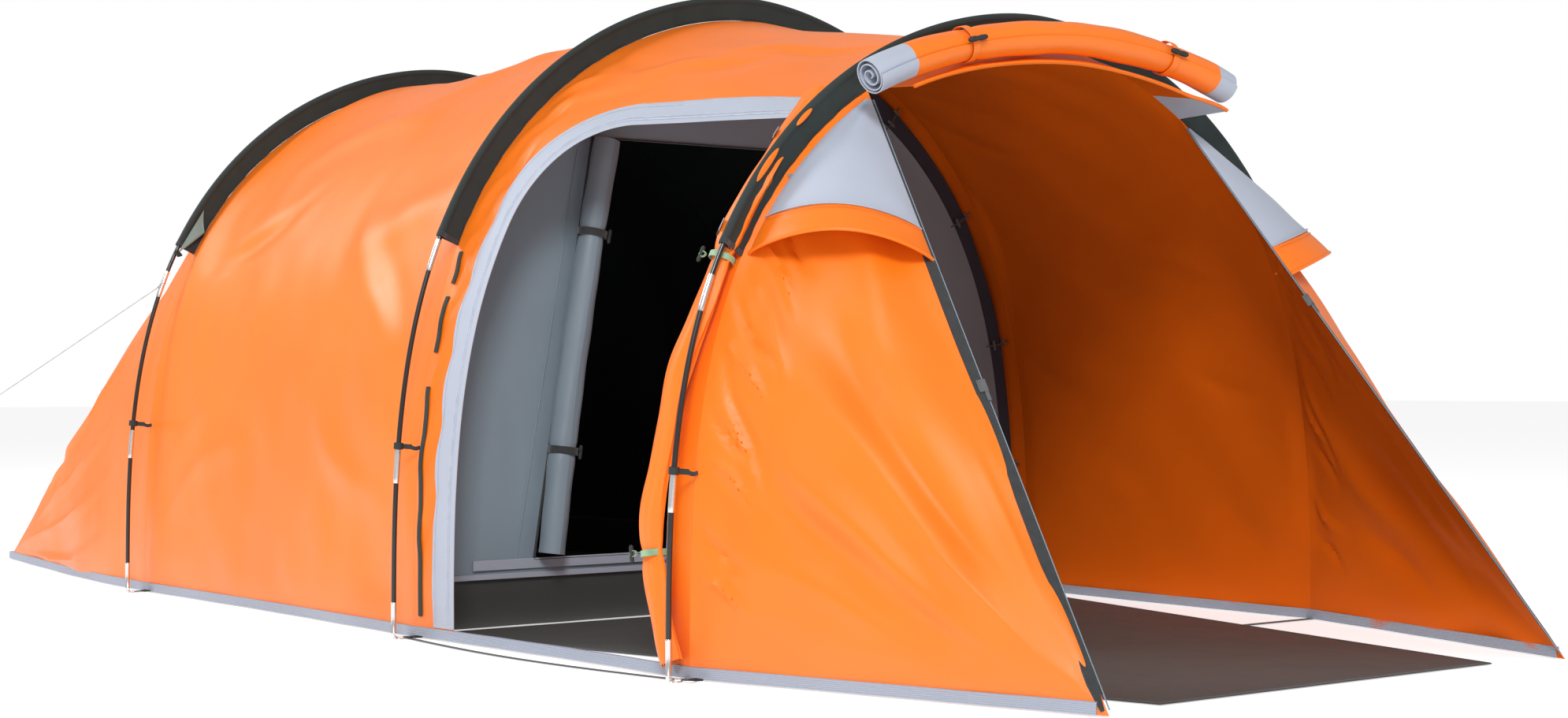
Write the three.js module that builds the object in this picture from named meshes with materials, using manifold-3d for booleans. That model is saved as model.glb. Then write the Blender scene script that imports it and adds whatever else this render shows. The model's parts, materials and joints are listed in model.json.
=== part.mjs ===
// A tunnel tent for families: three pole hoops carry an outer tent with a closed rear end, an open
// front porch between two wings, a side door, two vent hoods and an inner bedroom tent.
// Millimetres. +X runs to the front porch, -Y is the side with the side door, +Z is up.
// The origin is on the ground, at the middle of the tent's plan.
import * as THREE from "three";
import { mergeVertices } from "three/addons/utils/BufferGeometryUtils.js";
import Module from "manifold-3d";

const wasm = await Module();
wasm.setup();

// ---------------------------------------------------------------- driving dimensions

const TENT_LENGTH = 5980; // along the ground, corner to corner
const FRONT_CORNER_Y = 822; // half the distance between the front corners
const REAR_CORNER_Y = 1000; // half the distance between the rear corners
const SIDE_POWER = 1.85; // each hoop is |y / halfSpan|^SIDE_POWER + |z / height|^TOP_POWER = 1
const TOP_POWER = 3;

// halfSpan and height are the pole's centre line. The joints are measured along the pole from its foot,
// to the lower end of each ferrule, and bareLength is the bare pole between the upper ferrule and the sleeve.
const HOOPS = {
  front: { x: 1910, halfSpan: 1200, height: 1685, lowerJoint: 400, upperJoint: 890, bareLength: 85 },
  mid: { x: 650, halfSpan: 1245, height: 1890, lowerJoint: 430, upperJoint: 1035, bareLength: 12 },
  rear: { x: -1220, halfSpan: 1240, height: 1860, lowerJoint: 455, upperJoint: 1015, bareLength: 100 },
};
const ROD_RADIUS = 7;
const FERRULE_RADIUS = 8.4;
const FERRULE_LENGTH = 95;
const TIP_RADIUS = 7.8;
const TIP_LENGTH = 100;

const FLY_INSET = 62; // pole centre line to the outer tent's outer face
const SKIN = 4; // thickness of a fabric wall
const ARCH_FACETS = 16;

const SLEEVE_BORE = 9.2;
const SLEEVE_RADIUS = 11.5;
const SLEEVE_WEB = 4;
const SLEEVE_SEAM = 2.5; // room between the web and the outer tent, which the facets need

const WING_TOP = 0.3625; // share of the front arch, from its foot, where a wing's front edge starts
const HOOD_DROP = 0.13; // share of the front arch that a vent hood reaches down from there
const HOOD_REACH = 0.31; // share of the wing's front edge that the hood's far side reaches along
const HOOD_STANDOFF = 105; // how far the middle of its brim stands away from the wing
const HOOD_BRIM = 0.1; // how much further down the middle of the brim reaches, as a share of the hood's length
const HOOD_SKIN = 3;
const HOOD_START = 14; // hood's near side, measured from the hoop's plane
const PROP = { length: 60, width: 14, thickness: 2.4, pin: 3, lift: 3 };
const PROP_DOWN = 0.85; // how far down under the hood its prop stands

const REAR_ROUNDING = 45; // how far the rear end stands out of its straight line, at this share of its slope
const REAR_ROUNDING_AT = 0.72;
const DOOR_FROM_MID = 198; // side doorway's rear edge, from the middle hoop
const DOOR_FROM_FRONT = 96; // side doorway's front edge, from the front hoop
const DOOR_SILL = 34;
const DOOR_REAR_TOP = 1434;
const DOOR_FRONT_TOP = 1388;
const DOOR_CORNER = 270;
const DOOR_FRONT_CORNER = 90;
const TRIM_REAR = 96; // width of the trim beside the doorway
const TRIM_TOP = 62;
const TRIM_FRONT = 62;
const TRIM_SKIN = 2;

const HEADER_DEPTH = 175; // fixed strip in front of the front hoop, under the rolled door
const HEADER_DROP = 10; // how far its front edge dips below its sewn edge at its two ends
const HEADER_ROOM = 19.4; // from the rolled door's straps down to that edge, in the middle
const FRONT_ROLL_RADIUS = 47;
const FRONT_ROLL_OUT = 153; // roll's centre line in front of the hoop
const FRONT_ROLL_INSET = -12; // its ends lie this far inside the arch
const FRONT_ROLL_SAG = 82; // and its middle this much further
const FRONT_ROLL_NEAR_END = 0.342; // shares of the arch where the roll's two ends lie
const FRONT_ROLL_FAR_END = 0.632;
const SIDE_ROLL_RADIUS = 33;
const INNER_ROLL_RADIUS = 44;
const BAND_WIDTH = 24; // webbing band round a roll
const BAND_SKIN = 1.6;
const TOGGLE_RADIUS = 5;
const TOGGLE_LENGTH = 42;

const INNER_INSET = 150; // pole centre line to the inner tent's outer face
const INNER_WALL_BACK = 20; // inner tent's front wall behind the middle hoop's plane
const TUB_HEIGHT = 145;
const INNER_END = { x: -2470, halfSpan: 850, height: 470 }; // inner tent's low rear end
const INNER_DOOR = { top: 1437, sill: 195, nearTop: -600, nearSill: -805, farTop: 430, farSill: 560, corner: 70 };

const SHEET_SKIN = 3; // groundsheet
const SHEET_FRONT_X = 2930;
const SHEET_FRONT_Y = 600;
const SHEET_REAR_Y = 1135;
const WEB_WIDTH = 25;
const WEB_SKIN = 1.8;

const RING_RADIUS = 14;
const RING_WIRE = 2.4;
const RING_FROM_FOOT = 34;
const ZIP_BODY = { length: 34, width: 22, depth: 16, slotDepth: 10, slotWidth: 16 };
const ZIP_NEAR = 0.52; // share of the wing's front edge, from its top, where each slider is parked
const ZIP_FAR = 0.36;

const GUY_RADIUS = 1.5;
const GUY_PEG = { x: -2900, y: -2020, hook: 34, rod: 3 };
const GUY_SLIDER_AT = 0.8; // share of the rope, from the pole
const GUY_SLIDER = { length: 46, width: 15, depth: 6, bore: 2.2 };

const GAP = 0.4; // between pieces that touch
const EASE = 1.5; // between a loose piece and what it lies on
const HEM_LIFT = WEB_SKIN + GAP; // the outer tent's lower edge, which the base webbing passes under

// ---------------------------------------------------------------- materials

function finish(color, roughness, metalness = 0) {
  return new THREE.MeshStandardMaterial({ color, roughness, metalness });
}

const MATERIALS = {
  outer_fabric: finish(0xf5812a, 0.55),
  trim_fabric: finish(0xb9c1cf, 0.7),
  sleeve_fabric: finish(0x34383a, 0.8),
  inner_fabric: finish(0x6d7379, 0.85),
  floor_fabric: finish(0x3a3e3d, 0.7),
  black_rod: finish(0x141516, 0.35),
  bright_metal: finish(0xc9cdd0, 0.3, 1),
  webbing: finish(0x17181a, 0.85),
  dark_plastic: finish(0x202325, 0.5),
  cord: finish(0xb4b8ba, 0.8),
};

// ---------------------------------------------------------------- geometry helpers

// One point of a hoop, at a share of its arch from the near foot, moved inwards by inset and along X by dx.
const archTables = new Map();

function archTable(hoop) {
  if (archTables.has(hoop)) return archTables.get(hoop);
  const samples = 2400;
  const table = [];
  let length = 0;
  for (let i = 0; i <= samples; i++) {
    const angle = (Math.PI * i) / samples;
    const c = Math.cos(angle);
    const s = Math.max(Math.sin(angle), 0);
    const y = -hoop.halfSpan * Math.sign(c) * Math.abs(c) ** (2 / SIDE_POWER);
    const z = i === samples ? 0 : hoop.height * s ** (2 / TOP_POWER);
    if (i > 0) length += Math.hypot(y - table[i - 1].y, z - table[i - 1].z);
    table.push({ y, z, length });
  }
  archTables.set(hoop, table);
  return table;
}

function archLength(hoop) {
  return archTable(hoop).at(-1).length;
}

function spotAt(hoop, share) {
  const table = archTable(hoop);
  const wanted = THREE.MathUtils.clamp(share, 0, 1) * archLength(hoop);
  let low = 0;
  let high = table.length - 1;
  while (high - low > 1) {
    const middle = (low + high) >> 1;
    if (table[middle].length <= wanted) low = middle;
    else high = middle;
  }
  const part = (wanted - table[low].length) / (table[high].length - table[low].length);
  return {
    y: THREE.MathUtils.lerp(table[low].y, table[high].y, part),
    z: THREE.MathUtils.lerp(table[low].z, table[high].z, part),
  };
}

function inwardAt(hoop, share) {
  if (share <= 0) return new THREE.Vector3(0, 1, 0);
  if (share >= 1) return new THREE.Vector3(0, -1, 0);
  const step = 0.004;
  const before = spotAt(hoop, share - step);
  const after = spotAt(hoop, share + step);
  return new THREE.Vector3(0, after.z - before.z, before.y - after.y).normalize();
}

function archPoint(hoop, share, inset = 0, dx = 0) {
  const spot = spotAt(hoop, share);
  return new THREE.Vector3(hoop.x + dx, spot.y, spot.z).addScaledVector(inwardAt(hoop, share), inset);
}

// The share of the arch, near side, where a curve at this inset reaches height z.
function shareAtHeight(hoop, z, inset) {
  let low = 0;
  let high = 0.5;
  for (let i = 0; i < 40; i++) {
    const middle = (low + high) / 2;
    if (archPoint(hoop, middle, inset).z < z) low = middle;
    else high = middle;
  }
  return low;
}

class ArchCurve extends THREE.Curve {
  constructor(hoop, from, to, inset = 0, dx = 0, sag = 0) {
    super();
    Object.assign(this, { hoop, from, to, inset, dx, sag });
  }

  getPoint(t, target = new THREE.Vector3()) {
    const share = THREE.MathUtils.lerp(this.from, this.to, t);
    const inset = this.inset + this.sag * Math.sin(Math.PI * t);
    return target.copy(archPoint(this.hoop, share, inset, this.dx));
  }
}

// A closed solid from two matching grids of points. Triangles that have shrunk to a line are left out.
function shell(outer, inner) {
  const triangles = [];
  const addTriangle = (a, b, c) => {
    const smallest = Math.min(a.distanceTo(b), b.distanceTo(c), c.distanceTo(a));
    if (smallest > 1e-4) triangles.push(a, b, c);
  };
  const addQuad = (a, b, c, d) => {
    addTriangle(a, b, c);
    addTriangle(a, c, d);
  };
  const rows = outer.length;
  const columns = outer[0].length;
  for (let i = 0; i < rows - 1; i++) {
    for (let j = 0; j < columns - 1; j++) {
      addQuad(outer[i][j], outer[i + 1][j], outer[i + 1][j + 1], outer[i][j + 1]);
      addQuad(inner[i][j], inner[i][j + 1], inner[i + 1][j + 1], inner[i + 1][j]);
    }
  }
  for (let i = 0; i < rows - 1; i++) {
    const last = columns - 1;
    addQuad(outer[i][0], inner[i][0], inner[i + 1][0], outer[i + 1][0]);
    addQuad(outer[i + 1][last], inner[i + 1][last], inner[i][last], outer[i][last]);
  }
  for (let j = 0; j < columns - 1; j++) {
    const last = rows - 1;
    addQuad(outer[0][j + 1], inner[0][j + 1], inner[0][j], outer[0][j]);
    addQuad(outer[last][j], inner[last][j], inner[last][j + 1], outer[last][j + 1]);
  }
  return facingOut(triangles);
}

function facingOut(triangles) {
  let volume = 0;
  for (let i = 0; i < triangles.length; i += 3) {
    const [a, b, c] = triangles.slice(i, i + 3);
    volume += a.dot(new THREE.Vector3().crossVectors(b, c));
  }
  const numbers = [];
  for (let i = 0; i < triangles.length; i += 3) {
    const [a, b, c] = triangles.slice(i, i + 3);
    const ordered = volume > 0 ? [a, b, c] : [a, c, b];
    for (const p of ordered) numbers.push(p.x, p.y, p.z);
  }
  const geometry = new THREE.BufferGeometry();
  geometry.setAttribute("position", new THREE.Float32BufferAttribute(numbers, 3));
  return geometry;
}

function circle(radius, sides) {
  const corners = [];
  for (let i = 0; i < sides; i++) {
    const angle = (2 * Math.PI * i) / sides;
    corners.push(new THREE.Vector2(radius * Math.cos(angle), radius * Math.sin(angle)));
  }
  return new THREE.Shape(corners);
}

function tube(curve, radius, steps, sides = 8) {
  return new THREE.ExtrudeGeometry(circle(radius, sides), { steps, extrudePath: curve, bevelEnabled: false });
}

// An outline in the XZ plane, extruded along Y between two planes.
function prismAlongY(shape, fromY, toY) {
  const geometry = new THREE.ExtrudeGeometry(shape, { depth: toY - fromY, bevelEnabled: false, curveSegments: 6 });
  geometry.rotateX(Math.PI / 2);
  geometry.translate(0, toY, 0);
  return geometry;
}

// An outline in the YZ plane, extruded along X.
function prismAlongX(shape, fromX, toX) {
  const geometry = new THREE.ExtrudeGeometry(shape, { depth: toX - fromX, bevelEnabled: false, curveSegments: 6 });
  geometry.rotateY(Math.PI / 2);
  geometry.rotateX(Math.PI / 2);
  geometry.translate(fromX, 0, 0);
  return geometry;
}

// An outline in the XY plane, extruded upwards.
function plate(corners, fromZ, toZ) {
  const shape = new THREE.Shape(corners.map(([x, y]) => new THREE.Vector2(x, y)));
  const geometry = new THREE.ExtrudeGeometry(shape, { depth: toZ - fromZ, bevelEnabled: false });
  geometry.translate(0, 0, fromZ);
  return geometry;
}

function solidOf(geometry) {
  const bare = geometry.clone();
  bare.deleteAttribute("normal");
  bare.deleteAttribute("uv");
  const merged = mergeVertices(bare, 1e-3);
  const mesh = new wasm.Mesh({
    numProp: 3,
    vertProperties: new Float32Array(merged.attributes.position.array),
    triVerts: new Uint32Array(merged.index.array),
  });
  return new wasm.Manifold(mesh);
}

function geometryOf(solid) {
  const mesh = solid.getMesh();
  const geometry = new THREE.BufferGeometry();
  geometry.setAttribute("position", new THREE.BufferAttribute(mesh.vertProperties, 3));
  geometry.setIndex(new THREE.BufferAttribute(mesh.triVerts, 1));
  return geometry;
}

function joined(...geometries) {
  return geometryOf(geometries.map(solidOf).reduce((whole, next) => whole.add(next)));
}

function cut(geometry, ...tools) {
  return geometryOf(tools.map(solidOf).reduce((whole, tool) => whole.subtract(tool), solidOf(geometry)));
}

function common(geometry, other) {
  return geometryOf(solidOf(geometry).intersect(solidOf(other)));
}

// Puts a geometry built about its own axes at a spot, with its axes along the three given directions.
function placed(geometry, at, xAxis, yAxis, zAxis) {
  const matrix = new THREE.Matrix4().makeBasis(xAxis, yAxis, zAxis).setPosition(at);
  return geometry.applyMatrix4(matrix);
}

const tent = new THREE.Group();

function add(name, geometry, material) {
  if (!geometry.getAttribute("normal")) geometry.computeVertexNormals();
  const mesh = new THREE.Mesh(geometry, MATERIALS[material]);
  mesh.name = name;
  tent.add(mesh);
  return mesh;
}

const SIDES = { near: -1, far: 1 };
const mirrorY = (share, side) => (side < 0 ? share : 1 - share);

// ---------------------------------------------------------------- poles

function addHoop(name, hoop) {
  const whole = archLength(hoop);
  const lower = hoop.lowerJoint / whole;
  const upper = hoop.upperJoint / whole;
  const ferrule = FERRULE_LENGTH / whole;
  const gap = GAP / whole;
  const arch = tube(new ArchCurve(hoop, upper + gap, 1 - upper - gap), ROD_RADIUS, 44);
  const upperFerrules = Object.values(SIDES).map((side) => {
    const ends = [upper + gap, upper + ferrule].map((share) => mirrorY(share, side));
    return tube(new ArchCurve(hoop, Math.min(...ends), Math.max(...ends)), FERRULE_RADIUS, 2);
  });
  add(`${name}_pole_arch`, joined(arch, ...upperFerrules), "black_rod");
  for (const [sideName, side] of Object.entries(SIDES)) {
    const run = (from, to, radius, steps) => {
      const ends = [mirrorY(from, side), mirrorY(to, side)].sort((a, b) => a - b);
      return tube(new ArchCurve(hoop, ends[0], ends[1]), radius, steps);
    };
    const leg = run(lower + gap, upper, ROD_RADIUS, 6);
    const lowerFerrule = run(lower + gap, lower + ferrule, FERRULE_RADIUS, 1);
    add(`${name}_pole_leg_${sideName}`, joined(leg, lowerFerrule), "black_rod");
    const foot = run(TIP_LENGTH / whole / 2, lower, ROD_RADIUS, 4);
    const tip = new THREE.CylinderGeometry(TIP_RADIUS, TIP_RADIUS * 0.8, TIP_LENGTH, 8);
    tip.rotateX(Math.PI / 2);
    tip.translate(hoop.x, side * hoop.halfSpan, TIP_LENGTH / 2);
    add(`${name}_pole_foot_${sideName}`, joined(foot, tip), "black_rod");
  }
}

// A flat fin of cloth: a tube round the pole, with a web that is sewn to the outer tent.
function addSleeve(name, hoop) {
  const start = (hoop.upperJoint + FERRULE_LENGTH + hoop.bareLength) / archLength(hoop);
  const profile = new THREE.Shape();
  const webEnd = -(FLY_INSET - SLEEVE_SEAM);
  const corner = Math.asin(SLEEVE_WEB / 2 / SLEEVE_RADIUS);
  profile.moveTo(SLEEVE_WEB / 2, webEnd);
  profile.lineTo(SLEEVE_RADIUS * Math.sin(corner), -SLEEVE_RADIUS * Math.cos(corner));
  const turns = 8;
  for (let i = 1; i <= turns; i++) {
    const angle = -Math.PI / 2 + corner + ((2 * Math.PI - 2 * corner) * i) / turns;
    profile.lineTo(SLEEVE_RADIUS * Math.cos(angle), SLEEVE_RADIUS * Math.sin(angle));
  }
  profile.lineTo(-SLEEVE_WEB / 2, webEnd);
  profile.holes.push(circle(SLEEVE_BORE, 8));
  const path = new ArchCurve(hoop, start, 1 - start);
  const geometry = new THREE.ExtrudeGeometry(profile, { steps: 36, extrudePath: path, bevelEnabled: false });
  add(`${name}_pole_sleeve`, geometry, "sleeve_fabric");
}

// ---------------------------------------------------------------- outer tent

function archRow(hoop, inset, dx = 0, from = 0, to = 1, facets = ARCH_FACETS) {
  const row = [];
  for (let i = 0; i <= facets; i++) {
    const point = archPoint(hoop, THREE.MathUtils.lerp(from, to, i / facets), inset, dx);
    point.z = Math.max(point.z, HEM_LIFT);
    row.push(point);
  }
  return row;
}

function bayShell(back, front, outerInset, thickness) {
  const outer = [archRow(back, outerInset, GAP), archRow(front, outerInset, -GAP)];
  const inner = [archRow(back, outerInset + thickness, GAP), archRow(front, outerInset + thickness, -GAP)];
  return shell(outer, inner);
}

// Where a doorway's or a trim's top line is, at a distance along the tent.
function doorTopAt(x, rise) {
  const rear = HOOPS.mid.x + DOOR_FROM_MID;
  const front = HOOPS.front.x - DOOR_FROM_FRONT;
  const slope = (DOOR_FRONT_TOP - DOOR_REAR_TOP) / (front - rear);
  return DOOR_REAR_TOP + rise + slope * (x - rear);
}

// An arched outline in the XZ plane: rear edge, round rear corner, sloping top and smaller front corner.
function doorOutline(rearX, frontX, bottomZ, rise, rearCorner, frontCorner) {
  const shape = new THREE.Shape();
  const rearTop = doorTopAt(rearX + rearCorner, rise);
  const frontTop = doorTopAt(frontX - frontCorner, rise);
  shape.moveTo(rearX, bottomZ);
  shape.lineTo(rearX, rearTop - rearCorner);
  shape.quadraticCurveTo(rearX, rearTop, rearX + rearCorner, rearTop);
  shape.lineTo(frontX - frontCorner, frontTop);
  shape.quadraticCurveTo(frontX, frontTop, frontX, frontTop - frontCorner);
  shape.lineTo(frontX, bottomZ);
  return shape;
}

function doorwayPrism(bottomZ) {
  const outline = doorOutline(
    HOOPS.mid.x + DOOR_FROM_MID,
    HOOPS.front.x - DOOR_FROM_FRONT,
    bottomZ,
    0,
    DOOR_CORNER,
    DOOR_FRONT_CORNER,
  );
  return prismAlongY(outline, -HOOPS.mid.halfSpan - 100, 0);
}

function addOuterTent() {
  add("rear_bay_cover", bayShell(HOOPS.rear, HOOPS.mid, FLY_INSET, SKIN), "outer_fabric");
  const bay = bayShell(HOOPS.mid, HOOPS.front, FLY_INSET, SKIN);
  add("front_bay_cover", cut(bay, doorwayPrism(DOOR_SILL)), "outer_fabric");

  const trimOutline = doorOutline(
    HOOPS.mid.x + DOOR_FROM_MID - TRIM_REAR,
    HOOPS.front.x - DOOR_FROM_FRONT + TRIM_FRONT,
    DOOR_SILL,
    TRIM_TOP,
    DOOR_CORNER + TRIM_TOP,
    DOOR_FRONT_CORNER + TRIM_FRONT,
  );
  const trimPrism = prismAlongY(trimOutline, -HOOPS.mid.halfSpan - 50, 0);
  const band = bayShell(HOOPS.mid, HOOPS.front, FLY_INSET - GAP - TRIM_SKIN, TRIM_SKIN);
  const trim = cut(common(band, trimPrism), doorwayPrism(-10));
  add("side_door_trim", trim, "trim_fabric");

  // The rear end is drawn taut from the rear hoop to the two rear corners.
  const rear = HOOPS.rear;
  const lastSide = 5;
  const groundRow = (inwards) => {
    const near = new THREE.Vector3(-TENT_LENGTH / 2 + inwards, -REAR_CORNER_Y + inwards, HEM_LIFT);
    const far = near.clone().setY(-near.y);
    const row = [];
    for (let i = 0; i <= ARCH_FACETS; i++) {
      const along = THREE.MathUtils.clamp((i - lastSide) / (ARCH_FACETS - 2 * lastSide), 0, 1);
      row.push(near.clone().lerp(far, along));
    }
    return row;
  };
  const face = (ground, inset, dx) => {
    const top = archRow(rear, inset, dx);
    const rounded = archRow(rear, inset - REAR_ROUNDING, dx);
    const middle = ground.map((point, i) => point.clone().lerp(rounded[i], REAR_ROUNDING_AT));
    middle.forEach((point) => {
      point.z = Math.max(point.z, HEM_LIFT);
    });
    return [ground, middle, top];
  };
  const outer = face(groundRow(0), FLY_INSET, -GAP);
  const inner = face(groundRow(1.5 * SKIN), FLY_INSET + SKIN, -GAP);
  add("rear_end_panel", shell(outer, inner), "outer_fabric");
}

// ---------------------------------------------------------------- front wings, hoods, zips

function frontCorner(side, inwards = 0) {
  return new THREE.Vector3(TENT_LENGTH / 2 - 0.5 * inwards, side * (FRONT_CORNER_Y - inwards), HEM_LIFT);
}

// A point of a wing's outer face: share runs along the arch, reach runs from the hoop to the front corner.
function wingPoint(side, share, reach) {
  const start = archPoint(HOOPS.front, mirrorY(share, side), FLY_INSET, GAP);
  start.z = Math.max(start.z, HEM_LIFT);
  return start.lerp(frontCorner(side), reach);
}

function wingNormal(side) {
  const low = wingPoint(side, WING_TOP - HOOD_DROP, 0);
  const top = wingPoint(side, WING_TOP, 0);
  const edgeSpot = wingPoint(side, WING_TOP, HOOD_REACH);
  const normal = new THREE.Vector3().crossVectors(low.sub(top), edgeSpot.sub(top)).normalize();
  return normal.y * side > 0 ? normal : normal.negate();
}

// The hood lies on the wing along both sides and stands away from it in the middle of its lower edge.
function hoodPoint(side, down, across, lift) {
  const share = WING_TOP - down * HOOD_DROP * (1 - across);
  const start = HOOD_START / (TENT_LENGTH / 2 - HOOPS.front.x);
  const reach = start + down * (HOOD_REACH - start) * across;
  const bulge = HOOD_STANDOFF * down * Math.sin(Math.PI * across) ** 0.8;
  return wingPoint(side, share, reach).addScaledVector(wingNormal(side), EASE + bulge + lift);
}

function addHood(sideName, side) {
  const rows = 5;
  const columns = 8;
  const grid = (lift) => {
    const points = [];
    for (let i = 0; i <= rows; i++) {
      const row = [];
      for (let j = 0; j <= columns; j++) {
        const across = j / columns;
        const longest = 1 + HOOD_BRIM * Math.sin(Math.PI * across);
        row.push(hoodPoint(side, 0.04 + 0.96 * (i / rows) * longest, across, lift));
      }
      points.push(row);
    }
    return points;
  };
  add(`${sideName}_vent_hood`, shell(grid(HOOD_SKIN), grid(0)), "trim_fabric");
}

// A strut that stands on the wing and holds the hood's brim away from it.
function propPlace(side) {
  const normal = wingNormal(side);
  const down = PROP_DOWN;
  const share = WING_TOP - down * HOOD_DROP * 0.5;
  const base = wingPoint(side, share, HOOD_REACH * down * 0.5);
  const across = wingPoint(side, WING_TOP, HOOD_REACH).sub(wingPoint(side, WING_TOP - HOOD_DROP, 0));
  across.addScaledVector(normal, -across.dot(normal)).normalize();
  return { base, normal, across };
}

function addProp(sideName, side) {
  const { base, normal, across } = propPlace(side);
  const length = PROP.length;
  const width = PROP.width;
  const foot = PROP.lift;
  const blade = new THREE.BoxGeometry(width, PROP.thickness, length);
  blade.translate(0, 0, foot + length / 2);
  const knuckle = new THREE.CylinderGeometry(PROP.pin, PROP.pin, width, 10);
  knuckle.rotateZ(Math.PI / 2);
  knuckle.translate(0, 0, foot + PROP.pin);
  const along = new THREE.Vector3().crossVectors(normal, across);
  const geometry = placed(joined(blade, knuckle), base, across, along, normal);
  add(`${sideName}_vent_prop`, geometry, "dark_plastic");
}

function addWing(sideName, side) {
  const facets = 6;
  const outerArch = archRow(HOOPS.front, FLY_INSET, GAP, mirrorY(0, side), mirrorY(WING_TOP, side), facets);
  const innerArch = archRow(HOOPS.front, FLY_INSET + SKIN, GAP, mirrorY(0, side), mirrorY(WING_TOP, side), facets);
  const outer = [outerArch, outerArch.map(() => frontCorner(side))];
  const inner = [innerArch, innerArch.map(() => frontCorner(side, 1.5 * SKIN))];
  add(`${sideName}_wing_panel`, shell(outer, inner), "outer_fabric");
}

// A zip slider straddles the wing's front edge and runs along it.
function addZipSlider(sideName, side, reach) {
  const { length, width, depth, slotDepth, slotWidth } = ZIP_BODY;
  const edge = wingPoint(side, WING_TOP, 1).sub(wingPoint(side, WING_TOP, 0)).normalize();
  const beside = wingPoint(side, WING_TOP * (5 / 6), 0).sub(wingPoint(side, WING_TOP, 0));
  const outwards = new THREE.Vector3().crossVectors(edge, beside).normalize();
  if (outwards.y * side < 0) outwards.negate();
  const away = new THREE.Vector3().crossVectors(outwards, edge);
  if (away.dot(beside) > 0) away.negate();
  const third = new THREE.Vector3().crossVectors(edge, away);
  const body = new THREE.BoxGeometry(length, width, depth);
  const slot = new THREE.BoxGeometry(2 * length, slotWidth, slotDepth);
  slot.translate(0, -width / 2 + slotWidth / 2 - 1, 0);
  const flip = third.dot(outwards) > 0 ? 1 : -1;
  const tab = new THREE.BoxGeometry(30, 9, 2.5);
  tab.translate(length / 2 + 12, width / 2 - 6, (flip * (depth - 3)) / 2);
  const at = wingPoint(side, WING_TOP, reach).addScaledVector(outwards, -SKIN / 2);
  const geometry = placed(joined(cut(body, slot), tab), at, edge, away, third);
  add(`front_zip_slider_${sideName}`, geometry, "dark_plastic");
}

// ---------------------------------------------------------------- rolled doors and their toggles

function band(path, at, radius) {
  const half = BAND_WIDTH / 2 / path.getLength();
  const points = [at - half, at, at + half].map((t) => path.getPointAt(t));
  return tube(new THREE.CatmullRomCurve3(points), radius + BAND_SKIN, 2, 12);
}

function addToggle(name, path, at, radius, outwards) {
  const along = path.getTangentAt(at);
  const out = outwards.clone().addScaledVector(along, -outwards.dot(along)).normalize();
  const across = new THREE.Vector3().crossVectors(along, out);
  const bar = new THREE.CapsuleGeometry(TOGGLE_RADIUS, TOGGLE_LENGTH - 2 * TOGGLE_RADIUS, 3, 8);
  const distance = radius + BAND_SKIN + TOGGLE_RADIUS + EASE;
  const centre = path.getPointAt(at).addScaledVector(out, distance);
  add(name, placed(bar, centre, across, along, out), "dark_plastic");
}

function addRoll(name, path, radius, steps, material, toggles) {
  const bands = toggles.map(({ at }) => band(path, at, radius));
  add(name, joined(tube(path, radius, steps, 12), ...bands), material);
  for (const { toggle, at, outwards } of toggles) addToggle(toggle, path, at, radius, outwards);
}

function addFrontRoll() {
  const path = new ArchCurve(
    HOOPS.front,
    FRONT_ROLL_NEAR_END,
    FRONT_ROLL_FAR_END,
    FRONT_ROLL_INSET,
    FRONT_ROLL_OUT,
    FRONT_ROLL_SAG,
  );
  const outwards = new THREE.Vector3(1, 0, 0.2);
  addRoll("front_door_roll", path, FRONT_ROLL_RADIUS, 16, "outer_fabric", [
    { toggle: "front_roll_toggle_near", at: 0.25, outwards },
    { toggle: "front_roll_toggle_far", at: 0.81, outwards },
  ]);
}

// The side door hangs rolled beside the front hoop, outside the doorway's front edge. Each pair is a share
// of the way from the middle hoop to the front hoop, and a share of the arch.
function addSideRoll() {
  const outset = SIDE_ROLL_RADIUS + BAND_SKIN + TRIM_SKIN + GAP + 2 * EASE;
  const route = [
    [0.905, 0.345],
    [0.955, 0.2925],
    [0.958, 0.245],
    [0.95, 0.19],
    [0.921, 0.155],
    [0.912, 0.12],
    [0.891, 0.0825],
    [0.902, 0.055],
    [0.935, 0.0225],
    [0.955, 0.008],
  ];
  const points = route.map(([along, share]) => {
    const back = archPoint(HOOPS.mid, share, FLY_INSET - outset);
    const point = back.lerp(archPoint(HOOPS.front, share, FLY_INSET - outset), along);
    point.x = Math.min(point.x, HOOPS.front.x - SLEEVE_RADIUS - SIDE_ROLL_RADIUS - BAND_SKIN - EASE);
    return point;
  });
  const outwards = new THREE.Vector3(-1, -0.25, 0);
  addRoll("side_door_roll", new THREE.CatmullRomCurve3(points), SIDE_ROLL_RADIUS, 22, "outer_fabric", [
    { toggle: "side_roll_toggle_upper", at: 0.36, outwards },
    { toggle: "side_roll_toggle_lower", at: 0.83, outwards },
  ]);
}

function innerWallFace() {
  return HOOPS.mid.x - INNER_WALL_BACK;
}

function addInnerRoll() {
  const x = innerWallFace() + INNER_ROLL_RADIUS + BAND_SKIN + EASE;
  const top = new THREE.Vector3(x, INNER_DOOR.nearTop + INNER_ROLL_RADIUS + 8, INNER_DOOR.top - 12);
  const low = new THREE.Vector3(x, INNER_DOOR.nearSill + INNER_ROLL_RADIUS + 18, INNER_DOOR.sill + 18);
  const bend = top.clone().lerp(low, 0.5);
  bend.y -= 16;
  const outwards = new THREE.Vector3(0.35, 1, 0);
  addRoll("inner_door_roll", new THREE.CatmullRomCurve3([top, bend, low]), INNER_ROLL_RADIUS, 12, "trim_fabric", [
    { toggle: "inner_roll_toggle_upper", at: 0.23, outwards },
    { toggle: "inner_roll_toggle_lower", at: 0.755, outwards },
  ]);
}

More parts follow.
